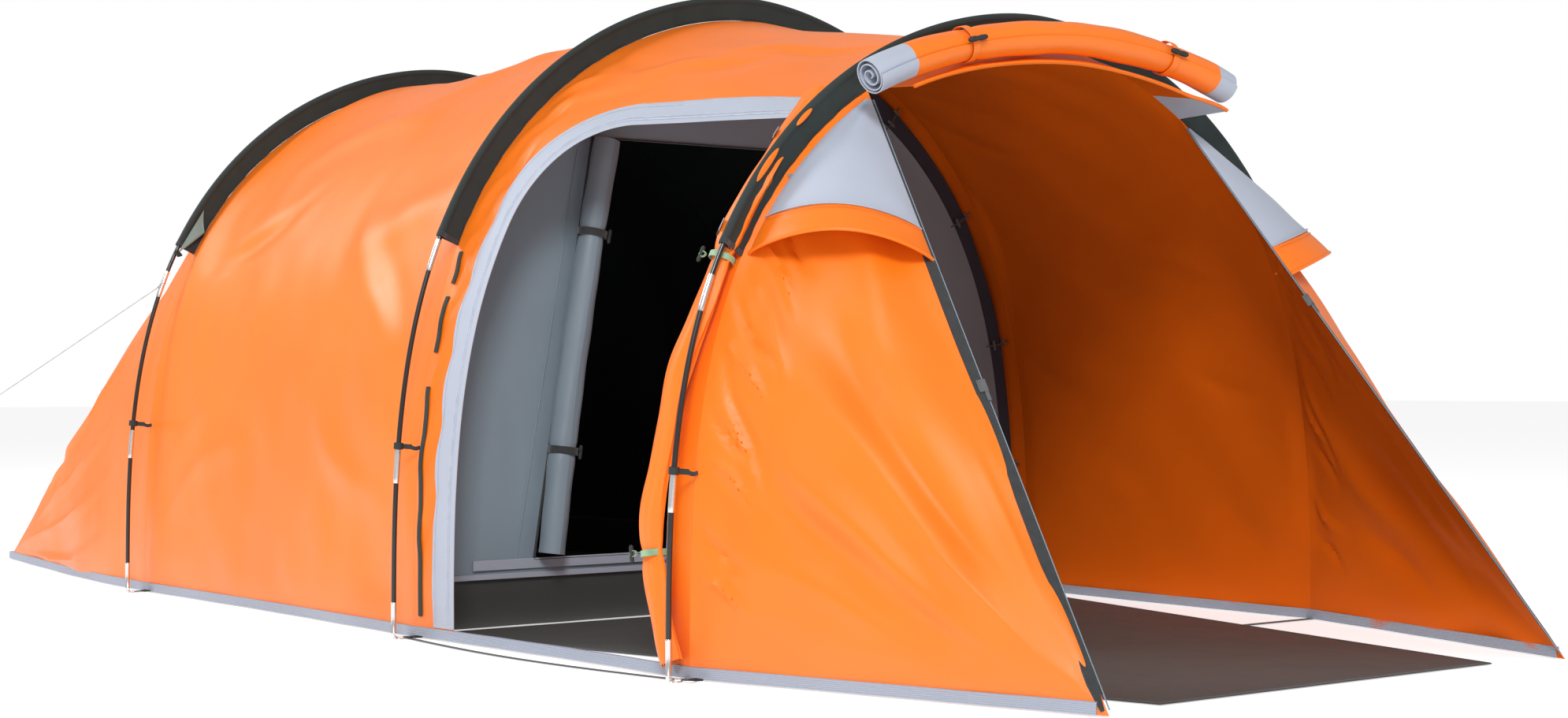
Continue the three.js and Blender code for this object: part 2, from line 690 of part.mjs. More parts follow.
function addDoorHeader() {
  const from = WING_TOP + 0.001;
  const facets = 8;
  const rollUnderside = FRONT_ROLL_INSET + FRONT_ROLL_SAG + FRONT_ROLL_RADIUS + BAND_SKIN;
  const sag = rollUnderside + HEADER_ROOM - FLY_INSET - HEADER_DROP;
  const seamRow = (inset) => archRow(HOOPS.front, inset, GAP, from, 1 - from, facets);
  const lipRow = (inset) =>
    new ArchCurve(HOOPS.front, from, 1 - from, inset, HEADER_DEPTH, sag).getPoints(facets);
  const outer = [seamRow(FLY_INSET), lipRow(FLY_INSET + HEADER_DROP)];
  const inner = [seamRow(FLY_INSET + SKIN), lipRow(FLY_INSET + HEADER_DROP + SKIN)];
  add("front_door_header", shell(outer, inner), "outer_fabric");
}

// ---------------------------------------------------------------- inner tent and groundsheet

function innerArchRow(hoop, inset, dx) {
  const from = shareAtHeight(hoop, TUB_HEIGHT + GAP, inset);
  const facets = 12;
  const row = archRow(hoop, inset, dx, from, 1 - from, facets);
  row[0].z = TUB_HEIGHT + GAP;
  row[facets].z = TUB_HEIGHT + GAP;
  return row;
}

function addInnerTent() {
  const face = innerWallFace();
  const back = face - SKIN;
  const frontRow = innerArchRow(HOOPS.mid, INNER_INSET, 0);
  const outline = new THREE.Shape(frontRow.map((p) => new THREE.Vector2(p.y, p.z)));
  const door = INNER_DOOR;
  const doorway = new THREE.Shape();
  doorway.moveTo(door.nearSill, door.sill);
  doorway.lineTo(door.farSill, door.sill);
  doorway.lineTo(door.farTop, door.top - door.corner);
  doorway.quadraticCurveTo(door.farTop, door.top, door.farTop - door.corner, door.top);
  doorway.lineTo(door.nearTop, door.top);
  doorway.closePath();
  const wall = cut(prismAlongX(outline, back, face), prismAlongX(doorway, back - 10, face + 10));
  add("inner_front_wall", wall, "inner_fabric");

  const stations = [
    [HOOPS.mid, back - GAP - HOOPS.mid.x, INNER_INSET],
    [HOOPS.rear, 0, INNER_INSET],
    [INNER_END, 0, 0],
  ];
  const outer = stations.map(([hoop, dx, inset]) => innerArchRow(hoop, inset, dx));
  const inner = stations.map(([hoop, dx, inset]) => innerArchRow(hoop, inset + SKIN, dx));
  add("inner_canopy", shell(outer, inner), "inner_fabric");

  const endRow = innerArchRow(INNER_END, 0, 0);
  const endOutline = new THREE.Shape(endRow.map((p) => new THREE.Vector2(p.y, p.z)));
  const endWall = prismAlongX(endOutline, INNER_END.x - GAP - SKIN, INNER_END.x - GAP);
  add("inner_rear_wall", endWall, "inner_fabric");

  const plan = (inwards) => {
    const stops = [
      [back - GAP - inwards, frontRow.at(-1).y - inwards],
      [HOOPS.rear.x, innerArchRow(HOOPS.rear, INNER_INSET, 0).at(-1).y - inwards],
      [INNER_END.x + inwards, endRow.at(-1).y - inwards],
    ];
    const mirrored = stops.map(([x, y]) => [x, -y]).reverse();
    return [...stops, ...mirrored];
  };
  const floor = WEB_SKIN + GAP;
  const tub = cut(plate(plan(0), floor, TUB_HEIGHT), plate(plan(SKIN), floor + SKIN, TUB_HEIGHT + 10));
  add("inner_floor_tub", tub, "floor_fabric");
}

function sheetHalfWidthAt(x) {
  const rear = sheetRearX();
  const along = (x - rear) / (SHEET_FRONT_X - rear);
  return THREE.MathUtils.lerp(SHEET_REAR_Y, SHEET_FRONT_Y, along);
}

function sheetRearX() {
  return HOOPS.mid.x + WEB_WIDTH / 2 + 2 * EASE;
}

function addGroundsheet() {
  const rear = sheetRearX();
  const corners = [
    [rear, -SHEET_REAR_Y],
    [SHEET_FRONT_X, -SHEET_FRONT_Y],
    [SHEET_FRONT_X, SHEET_FRONT_Y],
    [rear, SHEET_REAR_Y],
  ];
  add("porch_groundsheet", plate(corners, 0, SHEET_SKIN), "floor_fabric");
}

// ---------------------------------------------------------------- webbing, rings, guy line

function strip(x0, x1, y0, y1) {
  return plate([[x0, y0], [x1, y0], [x1, y1], [x0, y1]], 0, WEB_SKIN);
}

function addWebbing() {
  const half = WEB_WIDTH / 2;
  const clear = TIP_RADIUS + EASE;
  const front = HOOPS.front;
  for (const [sideName, side] of Object.entries(SIDES)) {
    const sheetEdge = Math.max(sheetHalfWidthAt(front.x - half), sheetHalfWidthAt(front.x + half)) + GAP;
    const ends = [side * (front.halfSpan - clear), side * sheetEdge].sort((a, b) => a - b);
    add(`front_base_web_${sideName}`, strip(front.x - half, front.x + half, ends[0], ends[1]), "webbing");
    // The side web runs from the middle foot to the front foot, just outside the outer tent.
    const from = HOOPS.mid.x + half + EASE;
    const to = front.x - half - EASE;
    const outside = (hoop) => side * (hoop.halfSpan - FLY_INSET / 2);
    const corners = [
      [from, outside(HOOPS.mid) - WEB_WIDTH / 3],
      [to, outside(front) - WEB_WIDTH / 3],
      [to, outside(front) + WEB_WIDTH / 3],
      [from, outside(HOOPS.mid) + WEB_WIDTH / 3],
    ];
    add(`side_web_${sideName}`, plate(corners, 0, WEB_SKIN), "webbing");
  }
  for (const name of ["mid", "rear"]) {
    const hoop = HOOPS[name];
    const reach = hoop.halfSpan - clear;
    add(`${name}_base_web`, strip(hoop.x - half, hoop.x + half, -reach, reach), "webbing");
  }
}

function addPegRings() {
  for (const [name, hoop] of Object.entries(HOOPS)) {
    for (const [sideName, side] of Object.entries(SIDES)) {
      const ring = new THREE.TorusGeometry(RING_RADIUS, RING_WIRE, 6, 16);
      const mesh = add(`${name}_peg_ring_${sideName}`, ring, "bright_metal");
      mesh.position.set(hoop.x + RING_FROM_FOOT, side * (hoop.halfSpan + RING_WIRE), RING_WIRE);
    }
  }
}

function addGuyLine() {
  const rear = HOOPS.rear;
  const share = (rear.upperJoint + FERRULE_LENGTH / 2) / archLength(rear);
  const outside = FERRULE_RADIUS + GUY_RADIUS + EASE;
  const peg = new THREE.Vector3(GUY_PEG.x, GUY_PEG.y, GUY_PEG.hook);
  const start = archPoint(rear, share);
  const away = peg.clone().sub(start).normalize();
  start.addScaledVector(away, outside + 3);
  const end = peg.clone().addScaledVector(away, -(GUY_PEG.rod + GUY_RADIUS + EASE));
  add("guy_line", tube(new THREE.LineCurve3(start, end), GUY_RADIUS, 24), "cord");

  const { length, width, depth, bore } = GUY_SLIDER;
  const body = new THREE.CapsuleGeometry(width / 2, length - width, 3, 8);
  body.scale(1, 1, depth / width);
  const hole = new THREE.CylinderGeometry(bore, bore, 2 * length, 10);
  const level = new THREE.Vector3(0, 0, 1).cross(away).normalize();
  const across = new THREE.Vector3().crossVectors(level, away);
  const middle = start.clone().lerp(end, GUY_SLIDER_AT);
  add("guy_slider", placed(cut(body, hole), middle, level, away, across), "dark_plastic");

  const hook = new THREE.CatmullRomCurve3([
    new THREE.Vector3(GUY_PEG.x, GUY_PEG.y, 0),
    new THREE.Vector3(GUY_PEG.x, GUY_PEG.y, GUY_PEG.hook),
    new THREE.Vector3(GUY_PEG.x - 5, GUY_PEG.y - 4, GUY_PEG.hook + 16),
    new THREE.Vector3(GUY_PEG.x - 18, GUY_PEG.y - 9, GUY_PEG.hook + 16),
    new THREE.Vector3(GUY_PEG.x - 24, GUY_PEG.y - 12, GUY_PEG.hook + 2),
  ]);
  add("guy_peg", tube(hook, GUY_PEG.rod, 14), "bright_metal");
}

// ---------------------------------------------------------------- the tent

for (const [name, hoop] of Object.entries(HOOPS)) {
  addHoop(name, hoop);
  addSleeve(name, hoop);
}
addOuterTent();
addDoorHeader();
for (const [sideName, side] of Object.entries(SIDES)) {
  addWing(sideName, side);
  addHood(sideName, side);
  addProp(sideName, side);
  addZipSlider(sideName, side, side < 0 ? ZIP_NEAR : ZIP_FAR);
}
addFrontRoll();
addSideRoll();
addInnerRoll();
addInnerTent();
addGroundsheet();
addWebbing();
addPegRings();
addGuyLine();

export default tent;
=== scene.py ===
"""A tunnel tent on three sleeved hoops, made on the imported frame."""
import json
import math

import bmesh
import bpy
import numpy as np
from bpy.props import FloatProperty, FloatVectorProperty, IntProperty, PointerProperty
from mathutils import Matrix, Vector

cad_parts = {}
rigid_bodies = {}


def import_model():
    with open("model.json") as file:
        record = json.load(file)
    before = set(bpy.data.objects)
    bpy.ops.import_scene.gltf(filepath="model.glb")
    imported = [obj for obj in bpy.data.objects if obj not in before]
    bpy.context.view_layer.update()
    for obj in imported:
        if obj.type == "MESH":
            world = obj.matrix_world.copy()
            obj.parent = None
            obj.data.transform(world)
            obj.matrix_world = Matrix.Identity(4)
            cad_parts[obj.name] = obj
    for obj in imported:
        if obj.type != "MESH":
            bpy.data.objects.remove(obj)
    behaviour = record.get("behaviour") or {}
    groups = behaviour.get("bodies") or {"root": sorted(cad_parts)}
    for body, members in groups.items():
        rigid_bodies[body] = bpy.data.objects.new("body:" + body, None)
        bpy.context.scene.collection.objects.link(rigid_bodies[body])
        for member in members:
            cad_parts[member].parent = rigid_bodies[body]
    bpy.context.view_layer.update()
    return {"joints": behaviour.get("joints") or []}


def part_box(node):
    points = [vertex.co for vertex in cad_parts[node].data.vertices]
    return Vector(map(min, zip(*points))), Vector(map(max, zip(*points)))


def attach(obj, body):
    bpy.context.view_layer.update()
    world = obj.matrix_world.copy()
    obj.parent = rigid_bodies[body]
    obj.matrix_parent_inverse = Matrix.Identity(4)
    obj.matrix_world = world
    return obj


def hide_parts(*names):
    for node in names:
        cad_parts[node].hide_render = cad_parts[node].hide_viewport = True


bl_info = {
    "name": "Tent on poles",
    "version": (1, 0, 0),
    "blender": (4, 5, 0),
    "location": "View3D > Sidebar > Tent",
    "description": "Makes a tunnel tent: poles, sleeves, outer and inner cloth, rolled doors and webbing",
    "category": "Object",
}

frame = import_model()
TENT = "tent"

# ------------------------------------------------------------------ the tent's measures, in metres

SIDE_POWER = 1.85
TOP_POWER = 3.0
ROD = 0.007
FERRULE = 0.0084
FERRULE_LENGTH = 0.095
TIP_LENGTH = 0.1
FLY_INSET = 0.062
GAP = 0.0004
HEM_LIFT = 0.0022
WING_TOP = 0.3625
ROLL = {"near": 0.342, "far": 0.632, "inset": -0.012, "sag": 0.082, "out": 0.153}
HEADER = {"depth": 0.175, "drop": 0.01, "sag": 0.066}
HOOD = {"drop": 0.13, "reach": 0.31, "standoff": 0.1, "brim": 0.16, "start": 0.014, "ease": 0.0015}
REAR_CORNER = (-2.99, 1.0)
FRONT_CORNER = (2.99, 0.822)
REAR_ROUNDING = 0.045
REAR_ROUNDING_AT = 0.72
DOOR = {"from_mid": 0.198, "from_front": 0.096, "sill": 0.034, "rear_top": 1.434, "front_top": 1.388}
DOOR_CORNER = 0.27
DOOR_FRONT_CORNER = 0.09
TRIM = {"rear": 0.096, "top": 0.062, "front": 0.014}
DOORWAY_AREA = 1.42
CUTTER_REACH = (-1.45, -0.1)
INNER_INSET = 0.15
INNER_WALL_BACK = 0.02
TUB_HEIGHT = 0.145
INNER_END = (-2.47, 0.85, 0.47)
INNER_DOOR = {"top": 1.437, "sill": 0.195, "near_top": -0.6, "near_sill": -0.805, "far_top": 0.43,
              "far_sill": 0.56}
NEAR_EDGE_COVER = 0.03
INSIDE = np.array([0.3, 0.0, 0.5])
SIDES = {"near": -1, "far": 1}
GUY_PEG = (-2.9, -2.02)
GUY_PEG_HEIGHT = 0.034
CORD_RADIUS = 0.0015
KNOT_ROOM = 0.003


class Hoop:
    """A pole bent to a flat arch across the tent, followed by shares of its length."""

    def __init__(self, x, half_span, height, lower_joint, upper_joint, bare):
        self.x, self.half_span, self.height = x, half_span, height
        self.lower_joint, self.upper_joint, self.bare = lower_joint, upper_joint, bare
        angle = np.linspace(0, math.pi, 4001)
        c, s = np.cos(angle), np.sin(angle)
        y = -half_span * np.sign(c) * np.abs(c) ** (2 / SIDE_POWER)
        z = height * np.abs(s) ** (2 / TOP_POWER)
        steps = np.hypot(np.diff(y), np.diff(z))
        self.table = np.concatenate([[0], np.cumsum(steps)])
        self.length = self.table[-1]
        self.y, self.z = y, z

    def spot(self, share):
        run = np.clip(share, 0, 1) * self.length
        return np.interp(run, self.table, self.y), np.interp(run, self.table, self.z)

    def inward(self, share):
        y0, z0 = self.spot(np.asarray(share) - 0.004)
        y1, z1 = self.spot(np.asarray(share) + 0.004)
        size = np.hypot(y1 - y0, z1 - z0)
        return (z1 - z0) / size, (y0 - y1) / size

    def at(self, share, inset=0.0, dx=0.0):
        share = np.asarray(share, float)
        y, z = self.spot(share)
        ny, nz = self.inward(share)
        return np.stack([np.full_like(y, self.x) + dx, y + ny * inset, z + nz * inset], -1)


HOOPS = {
    "front": Hoop(1.91, 1.2, 1.685, 0.4, 0.89, 0.085),
    "mid": Hoop(0.65, 1.245, 1.89, 0.43, 1.035, 0.012),
    "rear": Hoop(-1.22, 1.24, 1.86, 0.455, 1.015, 0.1),
}


def mirrored(share, side):
    return share if side < 0 else 1 - share


def unit(vectors):
    size = np.linalg.norm(vectors, axis=-1, keepdims=True)
    return vectors / np.maximum(size, 1e-12)


def smooth_step(t):
    t = np.clip(t, 0, 1)
    return t * t * (3 - 2 * t)


# ------------------------------------------------------------------ meshes


def new_piece(name, vertices, faces, materials, body=TENT, face_material=None, uv=None, sharp=40):
    """A closed mesh piece in place, shaded smooth but for its folds, riding on a body."""
    mesh = bpy.data.meshes.new(name)
    mesh.from_pydata(np.asarray(vertices, float).tolist(), [], [list(f) for f in faces])
    for material in materials:
        mesh.materials.append(material)
    if face_material is not None:
        mesh.polygons.foreach_set("material_index", np.asarray(face_material, np.int32))
    if uv is not None:
        layer = mesh.uv_layers.new(name="cloth")
        index = np.empty(len(mesh.loops), np.int32)
        mesh.loops.foreach_get("vertex_index", index)
        layer.data.foreach_set("uv", np.asarray(uv, np.float32)[index].ravel())
    tidy_mesh(mesh)
    return place(name, mesh, body, sharp)


def tidy_mesh(mesh):
    """Points that lie on each other become one, and faces without area go."""
    grown = bmesh.new()
    grown.from_mesh(mesh)
    bmesh.ops.remove_doubles(grown, verts=grown.verts, dist=1e-5)
    bmesh.ops.dissolve_degenerate(grown, edges=grown.edges, dist=1e-6)
    if grown.calc_volume(signed=True) < 0:
        bmesh.ops.reverse_faces(grown, faces=grown.faces)
    grown.to_mesh(mesh)
    grown.free()


def place(name, mesh, body=TENT, sharp=40):
    mesh.polygons.foreach_set("use_smooth", np.ones(len(mesh.polygons), bool))
    mesh.set_sharp_from_angle(angle=math.radians(sharp))
    piece = bpy.data.objects.new(name, mesh)
    bpy.context.scene.collection.objects.link(piece)
    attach(piece, body)
    return piece


def grid_faces(rows, columns, first=0, wrap=False):
    """Quads between the points of a grid. With wrap, the last column joins the first."""
    i = np.arange(rows - 1)[:, None]
    j = np.arange(columns if wrap else columns - 1)[None, :]
    k = (j + 1) % columns
    a, b = i * columns + j, i * columns + k
    return np.stack([a, b, b + columns, a + columns], -1).reshape(-1, 4) + first


def lengths_along(points, axis):
    steps = np.linalg.norm(np.diff(points, axis=axis), axis=-1)
    mean = steps.mean(axis=1 - axis)
    return np.concatenate([[0], np.cumsum(mean)])


def grid_normals(points, away_from=INSIDE):
    du, dv = np.gradient(points, axis=0), np.gradient(points, axis=1)
    normals = np.cross(du, dv)
    size = np.linalg.norm(normals, axis=-1)
    weak = size < 1e-9
    if weak.any():
        filled = unit(normals.sum(axis=(0, 1)))
        for i in range(1, len(points)):
            normals[i][weak[i]] = np.where(size[i - 1][weak[i], None] > 1e-9, normals[i - 1][weak[i]], filled)
        for i in range(len(points) - 2, -1, -1):
            still = np.linalg.norm(normals[i], axis=-1) < 1e-9
            normals[i][still] = normals[i + 1][still]
    normals = unit(normals)
    outward = np.sum(normals * (points - away_from)) > 0
    return normals if outward else -normals


def cloth_shell(points, thickness, relief=0.0, away_from=INSIDE, ring=None):
    """A thin closed sheet on a grid, with its rim. ring is the axis that closes on itself."""
    rows, columns = points.shape[:2]
    if ring is None:
        normals = grid_normals(points, away_from)
    else:
        wide = np.pad(points, [(1, 1) if k == ring else (0, 0) for k in range(3)])
        wide = np.swapaxes(wide, 0, ring)
        seam = np.swapaxes(points, 0, ring)
        wide[0], wide[-1] = seam[-2], seam[1]
        normals = grid_normals(np.swapaxes(wide, 0, ring), away_from)
        normals = np.swapaxes(np.swapaxes(normals, 0, ring)[1:-1], 0, ring)
    outer = points + normals * np.broadcast_to(relief, (rows, columns))[..., None]
    inner = outer - normals * thickness
    count = rows * columns
    skin = grid_faces(rows, columns)
    lining = grid_faces(rows, columns, count)[:, ::-1]
    edge = []
    for i in range(rows - 1 if ring != 1 else 0):
        a, b = i * columns, (i + 1) * columns
        edge.append((a, b, b + count, a + count))
        a, b = a + columns - 1, b + columns - 1
        edge.append((b, a, a + count, b + count))
    for j in range(columns - 1 if ring != 0 else 0):
        edge.append((j + 1, j, j + count, j + 1 + count))
        a = (rows - 1) * columns + j
        edge.append((a, a + 1, a + 1 + count, a + count))
    vertices = np.concatenate([outer.reshape(-1, 3), inner.reshape(-1, 3)])
    faces = [*skin.tolist(), *lining.tolist(), *edge]
    u, v = lengths_along(points, 0), lengths_along(points, 1)
    uv = np.stack(np.meshgrid(u, v, indexing="ij"), -1).reshape(-1, 2)
    face_material = [0] * len(skin) + [1] * len(lining) + [0] * len(edge)
    return vertices, faces, face_material, np.concatenate([uv, uv]), outer


def sheet_area(points):
    a, b, c, d = points[:-1, :-1], points[1:, :-1], points[1:, 1:], points[:-1, 1:]
    first = np.linalg.norm(np.cross(b - a, c - a), axis=-1)
    second = np.linalg.norm(np.cross(c - a, d - a), axis=-1)
    return float((first + second).sum() / 2)


def add_cloth(name, points, materials, thickness=0.002, relief=0.0, away_from=INSIDE,
              node=None, sheet=None, front_rows=None, body=TENT, ring=None, both_faces=False):
    vertices, faces, face_material, uv, outer = cloth_shell(points, thickness, relief, away_from, ring)
    if front_rows is not None:
        columns = points.shape[1] - 1
        face_material = list(face_material)
        count = (len(points) - 1) * columns
        for i in range(front_rows * columns, count):
            face_material[i] = 2
            if both_faces:
                face_material[count + i] = 2
    piece = new_piece(name, vertices, faces, materials, body, face_material, uv)
    if node:
        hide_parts(node)
    if sheet:
        declare_sheet(outer)
    return piece


def declare_sheet(outer, area=None):
    """Works out a panel's flat size from its own lengths, as it was cut before it was hung, but keeps it
    nowhere.
    """
    width = float(np.linalg.norm(np.diff(outer, axis=0), axis=-1).sum(axis=0).max())
    length = float(np.linalg.norm(np.diff(outer, axis=1), axis=-1).sum(axis=1).max())
    flat_area = sheet_area(outer) if area is None else area
    if flat_area < 0.32 * width * length:
        length = 2 * flat_area / width
    width, length = round(width, 3), round(length, 3)


def sweep(name, path, profile, materials, side_axis=(1, 0, 0), body=TENT, scale=None, inner=None,
          face_material=None, sharp=40):
    """A closed outline carried along a path. side_axis keeps its first axis steady."""
    path = np.asarray(path, float)
    tangent = unit(np.gradient(path, axis=0))
    side = np.broadcast_to(np.asarray(side_axis, float), path.shape)
    side = unit(side - (side * tangent).sum(-1, keepdims=True) * tangent)
    other = np.cross(tangent, side)
    size = np.ones(len(path)) if scale is None else np.asarray(scale, float)
    profile = np.asarray(profile, float)
    outlines = np.broadcast_to(profile, (len(path), *profile.shape[-2:])) * size[:, None, None]
    points = path[:, None] + outlines[..., :1] * side[:, None] + outlines[..., 1:] * other[:, None]
    rows, columns = points.shape[:2]
    faces = [tuple(f) for f in grid_faces(rows, columns, wrap=True)]
    run = np.concatenate([[0], np.cumsum(np.linalg.norm(np.diff(path, axis=0), axis=-1))])
    around = np.concatenate([[0], np.cumsum(np.linalg.norm(np.diff(outlines[0], axis=0), axis=-1))])
    uv = np.stack(np.meshgrid(run, around, indexing="ij"), -1).reshape(-1, 2)
    vertices = points.reshape(-1, 3)
    count = len(vertices)
    if inner is not None:
        lines = np.broadcast_to(np.asarray(inner, float), (len(path), *profile.shape[-2:]))
        lines = lines * size[:, None, None]
        hollow = path[:, None] + lines[..., :1] * side[:, None] + lines[..., 1:] * other[:, None]
        vertices = np.concatenate([vertices, hollow.reshape(-1, 3)])
        uv = np.concatenate([uv, uv])
        faces += [tuple(f[::-1]) for f in grid_faces(rows, columns, count, wrap=True)]
        for j in range(columns):
            k = (j + 1) % columns
            end = (rows - 1) * columns
            faces.append((k, j, j + count, k + count))
            faces.append((end + j, end + k, end + k + count, end + j + count))
    else:
        faces.append(tuple(range(columns - 1, -1, -1)))
        faces.append(tuple((rows - 1) * columns + j for j in range(columns)))
    if face_material is not None:
        face_material = [face_material(i // columns, rows) for i in range((rows - 1) * columns)]
        face_material += [face_material[0]] * (len(faces) - len(face_material) - 1) + [face_material[-1]]
    return new_piece(name, vertices, faces, materials, body, face_material, uv, sharp)


def circle(radius, sides=16):
    angle = np.linspace(0, 2 * math.pi, sides, endpoint=False)
    return np.stack([radius * np.cos(angle), radius * np.sin(angle)], -1)


def rounded_bar(width, thickness, corner=0.3):
    """The outline of a flat strap with eased edges."""
    w, t = width / 2, thickness / 2
    e = corner * thickness
    return np.array([(w - e, -t), (w, -t + e), (w, t - e), (w - e, t), (-w + e, t), (-w, t - e), (-w, -t + e),
                     (-w + e, -t)])


def smooth_path(points, count):
    """A smooth line of evenly spaced points through the given ones."""
    points = np.asarray(points, float)
    padded = np.concatenate([[2 * points[0] - points[1]], points, [2 * points[-1] - points[-2]]])
    lines = []
    for i in range(len(points) - 1):
        a, b, c, d = padded[i:i + 4]
        t = np.linspace(0, 1, 24, endpoint=False)[:, None]
        lines.append(0.5 * (2 * b + (c - a) * t + (2 * a - 5 * b + 4 * c - d) * t ** 2
                            + (3 * b - a - 3 * c + d) * t ** 3))
    line = np.concatenate([*lines, points[-1:]])
    run = np.concatenate([[0], np.cumsum(np.linalg.norm(np.diff(line, axis=0), axis=-1))])
    wanted = np.linspace(0, run[-1], count)
    return np.stack([np.interp(wanted, run, line[:, k]) for k in range(3)], -1)


def path_spot(path, t):
    run = np.concatenate([[0], np.cumsum(np.linalg.norm(np.diff(path, axis=0), axis=-1))])
    wanted = np.asarray(t, float) * run[-1]
    return np.stack([np.interp(wanted, run, path[:, k]) for k in range(3)], -1)


def joined(name, pieces, body=TENT):
    """Several meshes of one thing as one piece."""
    grown = bmesh.new()
    materials = []
    for piece in pieces:
        before = len(grown.faces)
        grown.from_mesh(piece.data)
        grown.faces.ensure_lookup_table()
        spots = []
        for material in piece.data.materials:
            if material not in materials:
                materials.append(material)
            spots.append(materials.index(material))
        for face in grown.faces[before:]:
            face.material_index = spots[face.material_index]
        bpy.data.objects.remove(piece)
    mesh = bpy.data.meshes.new(name)
    grown.to_mesh(mesh)
    grown.free()
    for material in materials:
        mesh.materials.append(material)
    return place(name, mesh, body)


def cut_shape(piece, cutter, operation):
    """Cuts a piece with a closed mesh, and leaves a plain mesh."""
    modifier = piece.modifiers.new("cut", "BOOLEAN")
    modifier.object = cutter
    modifier.operation = operation
    modifier.solver = "EXACT"
    evaluated = piece.evaluated_get(bpy.context.evaluated_depsgraph_get())
    mesh = bpy.data.meshes.new_from_object(evaluated)
    piece.modifiers.remove(modifier)
    old = piece.data
    piece.data = mesh
    bpy.data.meshes.remove(old)
    mesh.set_sharp_from_angle(angle=math.radians(40))


def prism_along_y(outline, from_y, to_y):
    """A closed mesh object from an outline in the XZ plane, for cutting."""
    outline = np.asarray(outline, float)
    n = len(outline)
    vertices = [(x, y, z) for y in (from_y, to_y) for x, z in outline]
    faces = [tuple(range(n)), tuple(range(2 * n - 1, n - 1, -1))]
    faces += [((i + 1) % n, i, i + n, (i + 1) % n + n) for i in range(n)]
    mesh = bpy.data.meshes.new("cutter")
    mesh.from_pydata(vertices, [], faces)
    grown = bmesh.new()
    grown.from_mesh(mesh)
    if grown.calc_volume(signed=True) < 0:
        bmesh.ops.reverse_faces(grown, faces=grown.faces)
    bmesh.ops.triangulate(grown, faces=grown.faces)
    grown.to_mesh(mesh)
    grown.free()
    cutter = bpy.data.objects.new("cutter", mesh)
    bpy.context.scene.collection.objects.link(cutter)
    return cutter


# ------------------------------------------------------------------ folds in cloth


def ripple(u, v, seed, size, height):
    """Soft unevenness of slack cloth: a few long waves in set directions."""
    random = np.random.default_rng(seed)
    total = np.zeros(np.broadcast(u, v).shape)
    for _ in range(7):
        angle, phase = random.uniform(0, 2 * math.pi, 2)
        wave = 2 * math.pi / (size * random.uniform(0.7, 1.6))
        total += np.sin((u * math.cos(angle) + v * math.sin(angle)) * wave + phase)
    return height * total / 4


def creases(u, v, lines):
    """Long folds: each is (u0, v0, u1, v1, width, height), highest in its middle."""
    total = np.zeros(np.broadcast(u, v).shape)
    for u0, v0, u1, v1, width, height in lines:
        du, dv = u1 - u0, v1 - v0
        run = du * du + dv * dv
        t = ((u - u0) * du + (v - v0) * dv) / run
        across = ((u - u0) * dv - (v - v0) * du) / math.sqrt(run)
        bend = 0.12 * math.sqrt(run) * np.sin(math.pi * np.clip(t, 0, 1)) * np.sign(height)
        ends = np.where((t > 0) & (t < 1), np.sin(math.pi * np.clip(t, 0, 1)) ** 1.4, 0)
        total += height * np.exp(-(((across - bend) / width) ** 2)) * ends
    return total


def random_creases(seed, count, box, slant, length, width, height):
    """Folds spread over box = (u0, u1, v0, v1), within a fan of directions about slant."""
    random = np.random.default_rng(seed)
    lines = []
    for _ in range(count):
        u, v = random.uniform(box[0], box[1]), random.uniform(box[2], box[3])
        angle = slant + random.normal(0, 0.22)
        half = length * random.uniform(0.5, 1.3) / 2
        du, dv = math.cos(angle) * half, math.sin(angle) * half
        lines.append((u - du, v - dv, u + du, v + dv, width * random.uniform(0.6, 1.5),
                      height * random.uniform(0.4, 1.0) * random.choice([-1, 1])))
    return lines


# ------------------------------------------------------------------ materials


def add_node(tree, kind, place_at, **settings):
    node = tree.nodes.new(kind)
    node.location = place_at
    for key, value in settings.items():
        if hasattr(node, key):
            setattr(node, key, value)
        else:
            node.inputs[key.replace("_", " ").title()].default_value = value
    return node


def new_material(name):
    material = bpy.data.materials.get(name)
    if material:
        return material, None
    material = bpy.data.materials.new(name)
    material.use_nodes = True
    return material, material.node_tree


def set_shader(tree, **values):
    shader = tree.nodes["Principled BSDF"]
    for key, value in values.items():
        shader.inputs[key.replace("_", " ")].default_value = value
    return shader


def mottled_colour(tree, colour, low, high, size, source):
    """A base colour that drifts a little, as dyed cloth does."""
    noise = add_node(tree, "ShaderNodeTexNoise", (-700, 300))
    noise.inputs["Scale"].default_value = size
    noise.inputs["Detail"].default_value = 4.0
    ramp = add_node(tree, "ShaderNodeValToRGB", (-480, 300))
    ramp.color_ramp.elements[0].position = 0.3
    ramp.color_ramp.elements[1].position = 0.7
    ramp.color_ramp.elements[0].color = [min(1.0, c * low) for c in colour[:3]] + [1]
    ramp.color_ramp.elements[1].color = [min(1.0, c * high) for c in colour[:3]] + [1]
    tree.links.new(source, noise.inputs["Vector"])
    tree.links.new(noise.outputs["Fac"], ramp.inputs["Fac"])
    return ramp


